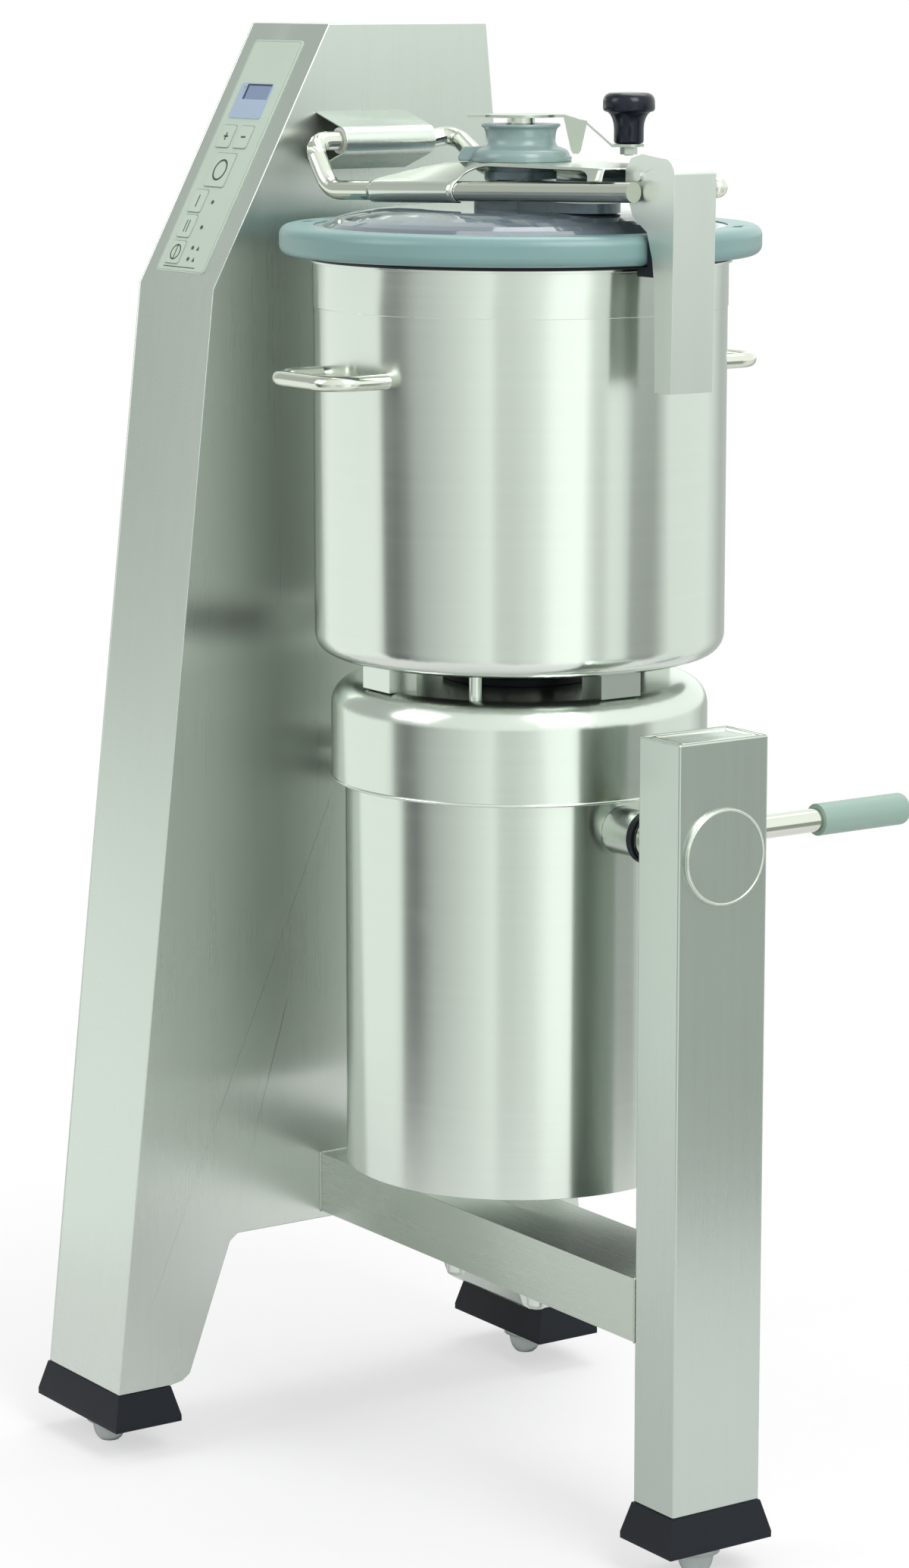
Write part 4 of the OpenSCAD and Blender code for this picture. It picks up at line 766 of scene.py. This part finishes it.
# Hub spool, in millimetres: radii and heights above its base. Its lug points away from the crank,
# whose arm lies at CRANK_TURN degrees.
SPOOL_H = 34
SPOOL_BORE_R = 14
SPOOL_BASE_R = 47
SPOOL_WAIST = (32, 20)
SPOOL_RIM_R = 36.5
CRANK_TURN = 55.7
LUG_WIDTH = 18
LUG_EDGE = 1.2
LUG_OUTLINE = [(30, 0.2), (56.5, 0.2), (57.5, 1.2), (57.5, 4.5), (53.5, 12), (51.5, 13), (30, 13.5)]


def lug(bm, foot, angle):
    """Small block that points outward at an angle; its side outline is in reach and height."""
    turn = math.radians(angle)
    outward = Vector((math.cos(turn), math.sin(turn), 0))
    across = Vector((-math.sin(turn), math.cos(turn), 0)) * (LUG_WIDTH * MM / 2)
    near, far = ([bm.verts.new(foot + outward * (reach * MM) + across * side + Vector((0, 0, height * MM)))
                  for reach, height in LUG_OUTLINE] for side in (-1, 1))
    sides = [bm.faces.new(near), bm.faces.new(far[::-1])]
    for k in range(len(near)):
        bm.faces.new((near[k - 1], far[k - 1], far[k], near[k]))
    edges = {edge for face in sides for edge in face.edges}
    bmesh.ops.bevel(bm, geom=list(edges), offset=LUG_EDGE * MM, segments=3, affect="EDGES")


def spool(bm):
    """Hub spool: stepped base with a lug, rounded shoulder, waist and thin rim."""
    foot = Vector((AXIS.x, AXIS.y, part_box("hub_spool")[1].z - SPOOL_H * MM))
    base = [(20, 0), (SPOOL_BASE_R - 0.6, 0), (SPOOL_BASE_R, 0.6), (SPOOL_BASE_R, 4)]
    shoulder = bow((37.5, 4), 8, 0, 75, 6)
    waist = flare(SPOOL_WAIST, 6, -8, 54, 0, 3) + flare(SPOOL_WAIST, 3.5, 11, 18, 90, 4)
    rim = [(SPOOL_RIM_R - 0.5, SPOOL_H - 2.5), (SPOOL_RIM_R, SPOOL_H - 1.8), (SPOOL_RIM_R, SPOOL_H - 0.6),
           (SPOOL_RIM_R - 0.5, SPOOL_H)]
    turned(bm, foot, base + shoulder + waist + rim + [(SPOOL_BORE_R, SPOOL_H), (SPOOL_BORE_R, 2)])
    lug(bm, foot, CRANK_TURN + 180)


# Crank knob, in millimetres: its height, and its neck's radius and height where the hollow starts
KNOB_H = 47
KNOB_NECK = (13.75, 13.5)


def knob(bm):
    """Crank knob: rounded foot, hollow neck and a wide head."""
    low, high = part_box("crank_knob")
    foot = Vector(((low.x + high.x) / 2, (low.y + high.y) / 2, low.z))
    base = [(0, 0), (11, 0)] + bow((11.25, 2.5), 2.5, -60, 0, 3)
    neck = flare(KNOB_NECK, 8.75, 16, 0, 90, 5)
    head = bow((20, 32.5), 4, -30, 0, 2) + bow((16, KNOB_H - 8.5), 8, 0, 90, 8)
    turned(bm, foot, base + neck + head + [(8, KNOB_H - 0.2), (0, KNOB_H)])


# Steel band round the hub under the saddle, in millimetres
BAND_R, BAND_INNER_R = 33, 31.2
BAND_LOW, BAND_HIGH = 1259.5, 1267.5
AXIS_FOOT = Vector((AXIS.x, AXIS.y, 0))


def hub_band(bm):
    """Thin steel band with broken edges."""
    turned(bm, AXIS_FOOT, [(BAND_INNER_R, BAND_LOW), (BAND_R - 0.4, BAND_LOW), (BAND_R, BAND_LOW + 0.5),
                           (BAND_R, BAND_HIGH - 0.5), (BAND_R - 0.4, BAND_HIGH), (BAND_INNER_R, BAND_HIGH)])


def lid_fittings():
    """Saddle sheet and its knuckle, spool, knob and the steel band round the hub."""
    sheet = piece("saddle_sheet", "lid", "lid_steel", saddle_sheet, 40)
    solid = sheet.modifiers.new("thickness", "SOLIDIFY")
    solid.thickness, solid.offset = SHEET * MM, 0
    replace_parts(sheet, "lid_saddle")
    piece("saddle_knuckle", "lid", "lid_steel", saddle_knuckle, 40)
    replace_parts(piece("spool_turned", "lid", "spool_plastic", spool, 50), "hub_spool")
    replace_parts(piece("knob_turned", "knob", "knob_black", knob, 50), "crank_knob")
    piece("hub_band", "lid", "tube_steel", hub_band, 40)


def rolled_line(name, finish, height, radius, thick):
    """Thin rolled bead round the bowl's axis; its radii are in millimetres."""
    def fill(bm):
        turned(bm, AXIS_FOOT + Vector((0, 0, height)), bow((radius, 0), thick, 0, 360, 10), 128)
        bmesh.ops.remove_doubles(bm, verts=bm.verts, dist=0.001 * MM)
    piece(name, "bowl_unit", finish, fill, 80)


# Trims, in millimetres
HEM_UP, HEM_THICK = 1.6, 1.5
SEAL_RING_INSET, SEAL_RING_THICK = 6, 2.2
BORDER_LINES = ((3, 0), (4, 0.9), (7, 0.9), (8, 0))
BORDER_CORNER = 9
RIM_THICK = 1.3
RIM_SINK, RIM_INSET = 0.4, 1.6


def post_cap_border(bm):
    """Flat raised border on the post's cap, through lines of inset and height."""
    low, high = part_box("post_cap")
    middle, size = (low + high) / 2, high - low
    lines = []
    for inset, up in BORDER_LINES:
        w, d = size.x - 2 * inset * MM, size.y - 2 * inset * MM
        corner = (BORDER_CORNER - inset) * MM
        lines.append([bm.verts.new(Vector((x, y, high.z + up * MM)))
                      for x, y in soft_outline(middle.x, middle.y, w, d, corner)])
    hoop(bm, lines)


def pivot_cap_rim(bm):
    """Round rim of the pivot's cap, on the post's outer face."""
    low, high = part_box("pivot_cap")
    centre = Vector((high.x - RIM_SINK * MM, (low.y + high.y) / 2, (low.z + high.z) / 2))
    reach = (high.y - low.y) / 2 - RIM_INSET * MM
    count, sides = 96, 8
    rings = []
    for k in range(count):
        a = math.tau * k / count
        out = Vector((0, math.cos(a), math.sin(a)))
        turns = [math.tau * s / sides for s in range(sides)]
        rings.append([bm.verts.new(centre + out * reach + RIM_THICK * MM
                                   * (math.cos(t) * out + Vector((math.sin(t), 0, 0)))) for t in turns])
    hoop(bm, rings)


def trims():
    """Rolled lines on the round housings, and the rims of the post's caps."""
    cap_low, cap_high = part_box("housing_cap")
    cap_r = (cap_high.x - cap_low.x) / 2 / MM
    rolled_line("cap_hem", "housing_steel", cap_low.z + HEM_UP * MM, cap_r - 0.2, HEM_THICK)
    seal_low, seal_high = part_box("drive_seal")
    seal_r = (seal_high.x - seal_low.x) / 2 / MM
    rolled_line("seal_ring", "tube_steel", seal_high.z, seal_r - SEAL_RING_INSET, SEAL_RING_THICK)
    piece("post_cap_border", "stand", "tube_steel", post_cap_border, 30)
    piece("pivot_cap_rim", "stand", "tube_steel", pivot_cap_rim, 80)


# Weld bead: its radius, how much it ripples, the ripple's turn from ring to ring, and the rings' distance
BEAD_R = 1.1 * MM
BEAD_RIPPLE = 0.14
RIPPLE_TURN = 2.1
BEAD_STEP = 2.0 * MM


def bead(bm, path, sides=8):
    """Closed, rippled round bar along a path."""
    turns = [math.tau * k / sides for k in range(sides)]
    points = [Vector(p) for p in path]
    rings = []
    for i, p in enumerate(points):
        way = (points[(i + 1) % len(points)] - points[i - 1]).normalized()
        side = way.orthogonal().normalized()
        up = way.cross(side)
        r = BEAD_R * (1 + BEAD_RIPPLE * math.sin(i * RIPPLE_TURN))
        rings.append([bm.verts.new(p + r * (math.cos(t) * side + math.sin(t) * up)) for t in turns])

    def apart(a, b, shift):
        return sum((a[k].co - b[(k + shift) % sides].co).length for k in range(sides))
    for a, b in zip(rings, rings[1:] + rings[:1]):
        shift = min(range(sides), key=lambda s: apart(a, b, s))
        join(bm, a, b[shift:] + b[:shift])


def weld_joints():
    """Beads where the beam meets the column and the post."""
    low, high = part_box("cross_beam")
    column_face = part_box("column_shell")[1].x
    post_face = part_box("post_tube")[0].x
    for name, x in (("beam_weld_column", column_face + 0.5 * MM), ("beam_weld_post", post_face - 0.5 * MM)):
        corners = [Vector((x, low.y, low.z)), Vector((x, low.y, high.z)),
                   Vector((x, high.y, high.z)), Vector((x, high.y, low.z))]
        path = []
        for a, b in zip(corners, corners[1:] + corners[:1]):
            path += run(a, b, max(2, int((b - a).length / BEAD_STEP)))[:-1]
        piece(name, "stand", "weld_bead", lambda bm: bead(bm, path), 80)


# Brightness that reflections find round the object, in degrees to the right of the camera,
# below the horizon and above it
LOW_BANDS = [(-180, 0.55), (-150, 0.62), (-135, 1.18), (-86, 1.22), (-81, 0.24), (-72, 0.16),
             (-66, 0.30), (-58, 0.56), (-30, 0.98), (-17, 1.20), (-13, 0.84), (-4, 0.84), (10, 1.05),
             (18, 1.42), (34, 1.52), (41, 0.86), (46, 0.80), (50, 1.10), (58, 1.06), (64, 0.46),
             (80, 0.42), (90, 1.06), (126, 1.08), (148, 0.58), (180, 0.55)]
HIGH_BANDS = [(-180, 1.25), (-150, 0.90), (-130, 0.62), (-90, 0.62), (-60, 1.05), (0, 1.30), (60, 1.40),
              (120, 1.35), (180, 1.25)]
HORIZON_LOW, HORIZON_HIGH = -0.05, 0.02
STUDIO_TINT = (0.975, 1.04, 0.985)
SOFT_LIGHT = (0.62, 0.63, 0.62)
WHITE = (1.0, 1.0, 1.0)


def world_light():
    """Studio: white backdrop, and soft panels and dark gaps that only reflections show."""
    world = bpy.data.worlds.new("studio")
    bpy.context.scene.world = world
    r = Recipe(world, "ShaderNodeOutputWorld")
    direction = r.node("ShaderNodeTexCoord", output="Generated")
    x, y, z = (r.node("ShaderNodeSeparateXYZ", None, {0: direction}, axis) for axis in range(3))
    azimuth = r.math("ARCTAN2", x, 0 - y)
    share = r.math("FRACT", (azimuth - CAMERA_AZIMUTH + math.tau * 1.5) / math.tau)

    def bands(levels):
        stops = [((angle + 180) / 360, tuple(level * part for part in STUDIO_TINT))
                 for angle, level in levels]
        return r.node("ShaderNodeValToRGB", {"stops": stops, "ramp": "LINEAR"}, {0: share})
    studio = r.mix(z.rise(HORIZON_LOW, HORIZON_HIGH), bands(LOW_BANDS), bands(HIGH_BANDS))
    camera = r.node("ShaderNodeLightPath", output="Is Camera Ray")
    through = r.node("ShaderNodeLightPath", output="Is Transmission Ray")
    glossy = r.node("ShaderNodeLightPath", output="Is Glossy Ray")
    colour = r.mix(camera.over(through), r.mix(glossy, SOFT_LIGHT, studio), WHITE)
    r.surface(r.node("ShaderNodeBackground", None, {"Color": colour, "Strength": 1.0}))


# Area lights: degrees to the right of the camera, degrees up, distance, width, height and power
LAMPS = {"key_panel": (28, 38, 3.2, 1.4, 2.2, 62), "fill_panel": (-70, 30, 3.4, 1.6, 2.0, 30),
         "top_panel": (150, 68, 3.0, 2.0, 2.0, 38)}
LAMP_AIM = Vector((0, 0, 0.8))


def lamp(name, azimuth, elevation, distance, width, height, power):
    """Soft rectangular light that faces the object's middle."""
    data = bpy.data.lights.new(name, "AREA")
    data.shape, data.size, data.size_y = "RECTANGLE", width, height
    data.energy = power
    made = bpy.data.objects.new(name, data)
    bpy.context.scene.collection.objects.link(made)
    a, e = CAMERA_AZIMUTH + math.radians(azimuth), math.radians(elevation)
    back = Vector((math.sin(a) * math.cos(e), -math.cos(a) * math.cos(e), math.sin(e)))
    made.location = LAMP_AIM + back * distance
    made.rotation_mode = "QUATERNION"
    made.rotation_quaternion = (-back).to_track_quat("-Z", "Y")


# Floor, in metres from the object's middle: its radius, and where its shadow fades and its edge starts
FLOOR_R = 1.75
SHADOW_FADE = (0.55, 1.3)
EDGE_START = 0.72 * FLOOR_R
FLOOR_GREY = 0.86
# Share of plain white that the camera sees near the feet
FLOOR_WHITE = 0.55


def floor():
    """Pale round floor: it keeps a soft shadow near the feet and turns to plain white further out."""
    data = bpy.data.meshes.new("floor")
    bm = bmesh.new()
    bmesh.ops.create_circle(bm, cap_ends=True, segments=96, radius=FLOOR_R)
    bm.to_mesh(data)
    bm.free()
    made = bpy.data.objects.new("floor", data)
    bpy.context.scene.collection.objects.link(made)
    paint = bpy.data.materials.new("floor_paint")
    r = Recipe(paint)
    x, y, z = r.place()
    away = (x ** 2 + y ** 2) ** 0.5
    fleck = r.noise(r.vector(x, y, z), 40, 3)
    shade = FLOOR_GREY + (fleck - 0.5) * 0.03
    lit = r.node("ShaderNodeBsdfDiffuse", None, {"Color": r.grey(shade)})
    glow = r.node("ShaderNodeEmission", None, {"Color": WHITE, "Strength": 1.0})
    camera = r.node("ShaderNodeLightPath", output="Is Camera Ray")
    share = camera * (FLOOR_WHITE + (1 - FLOOR_WHITE) * away.rise(*SHADOW_FADE))
    near = r.node("ShaderNodeMixShader", None, {0: share, 1: lit, 2: glow})
    clear = r.node("ShaderNodeBsdfTransparent")
    edge = away.rise(EDGE_START, FLOOR_R) * (1 - camera)
    r.surface(r.node("ShaderNodeMixShader", None, {0: edge, 1: near, 2: clear}))
    data.materials.append(paint)


make_camera()
world_light()
floor()
for name, facts in LAMPS.items():
    lamp(name, *facts)
dress_nodes()
print_panel()
weld_joints()
lid_fittings()
trims()

bpy.context.scene.view_settings.view_transform = "Standard"
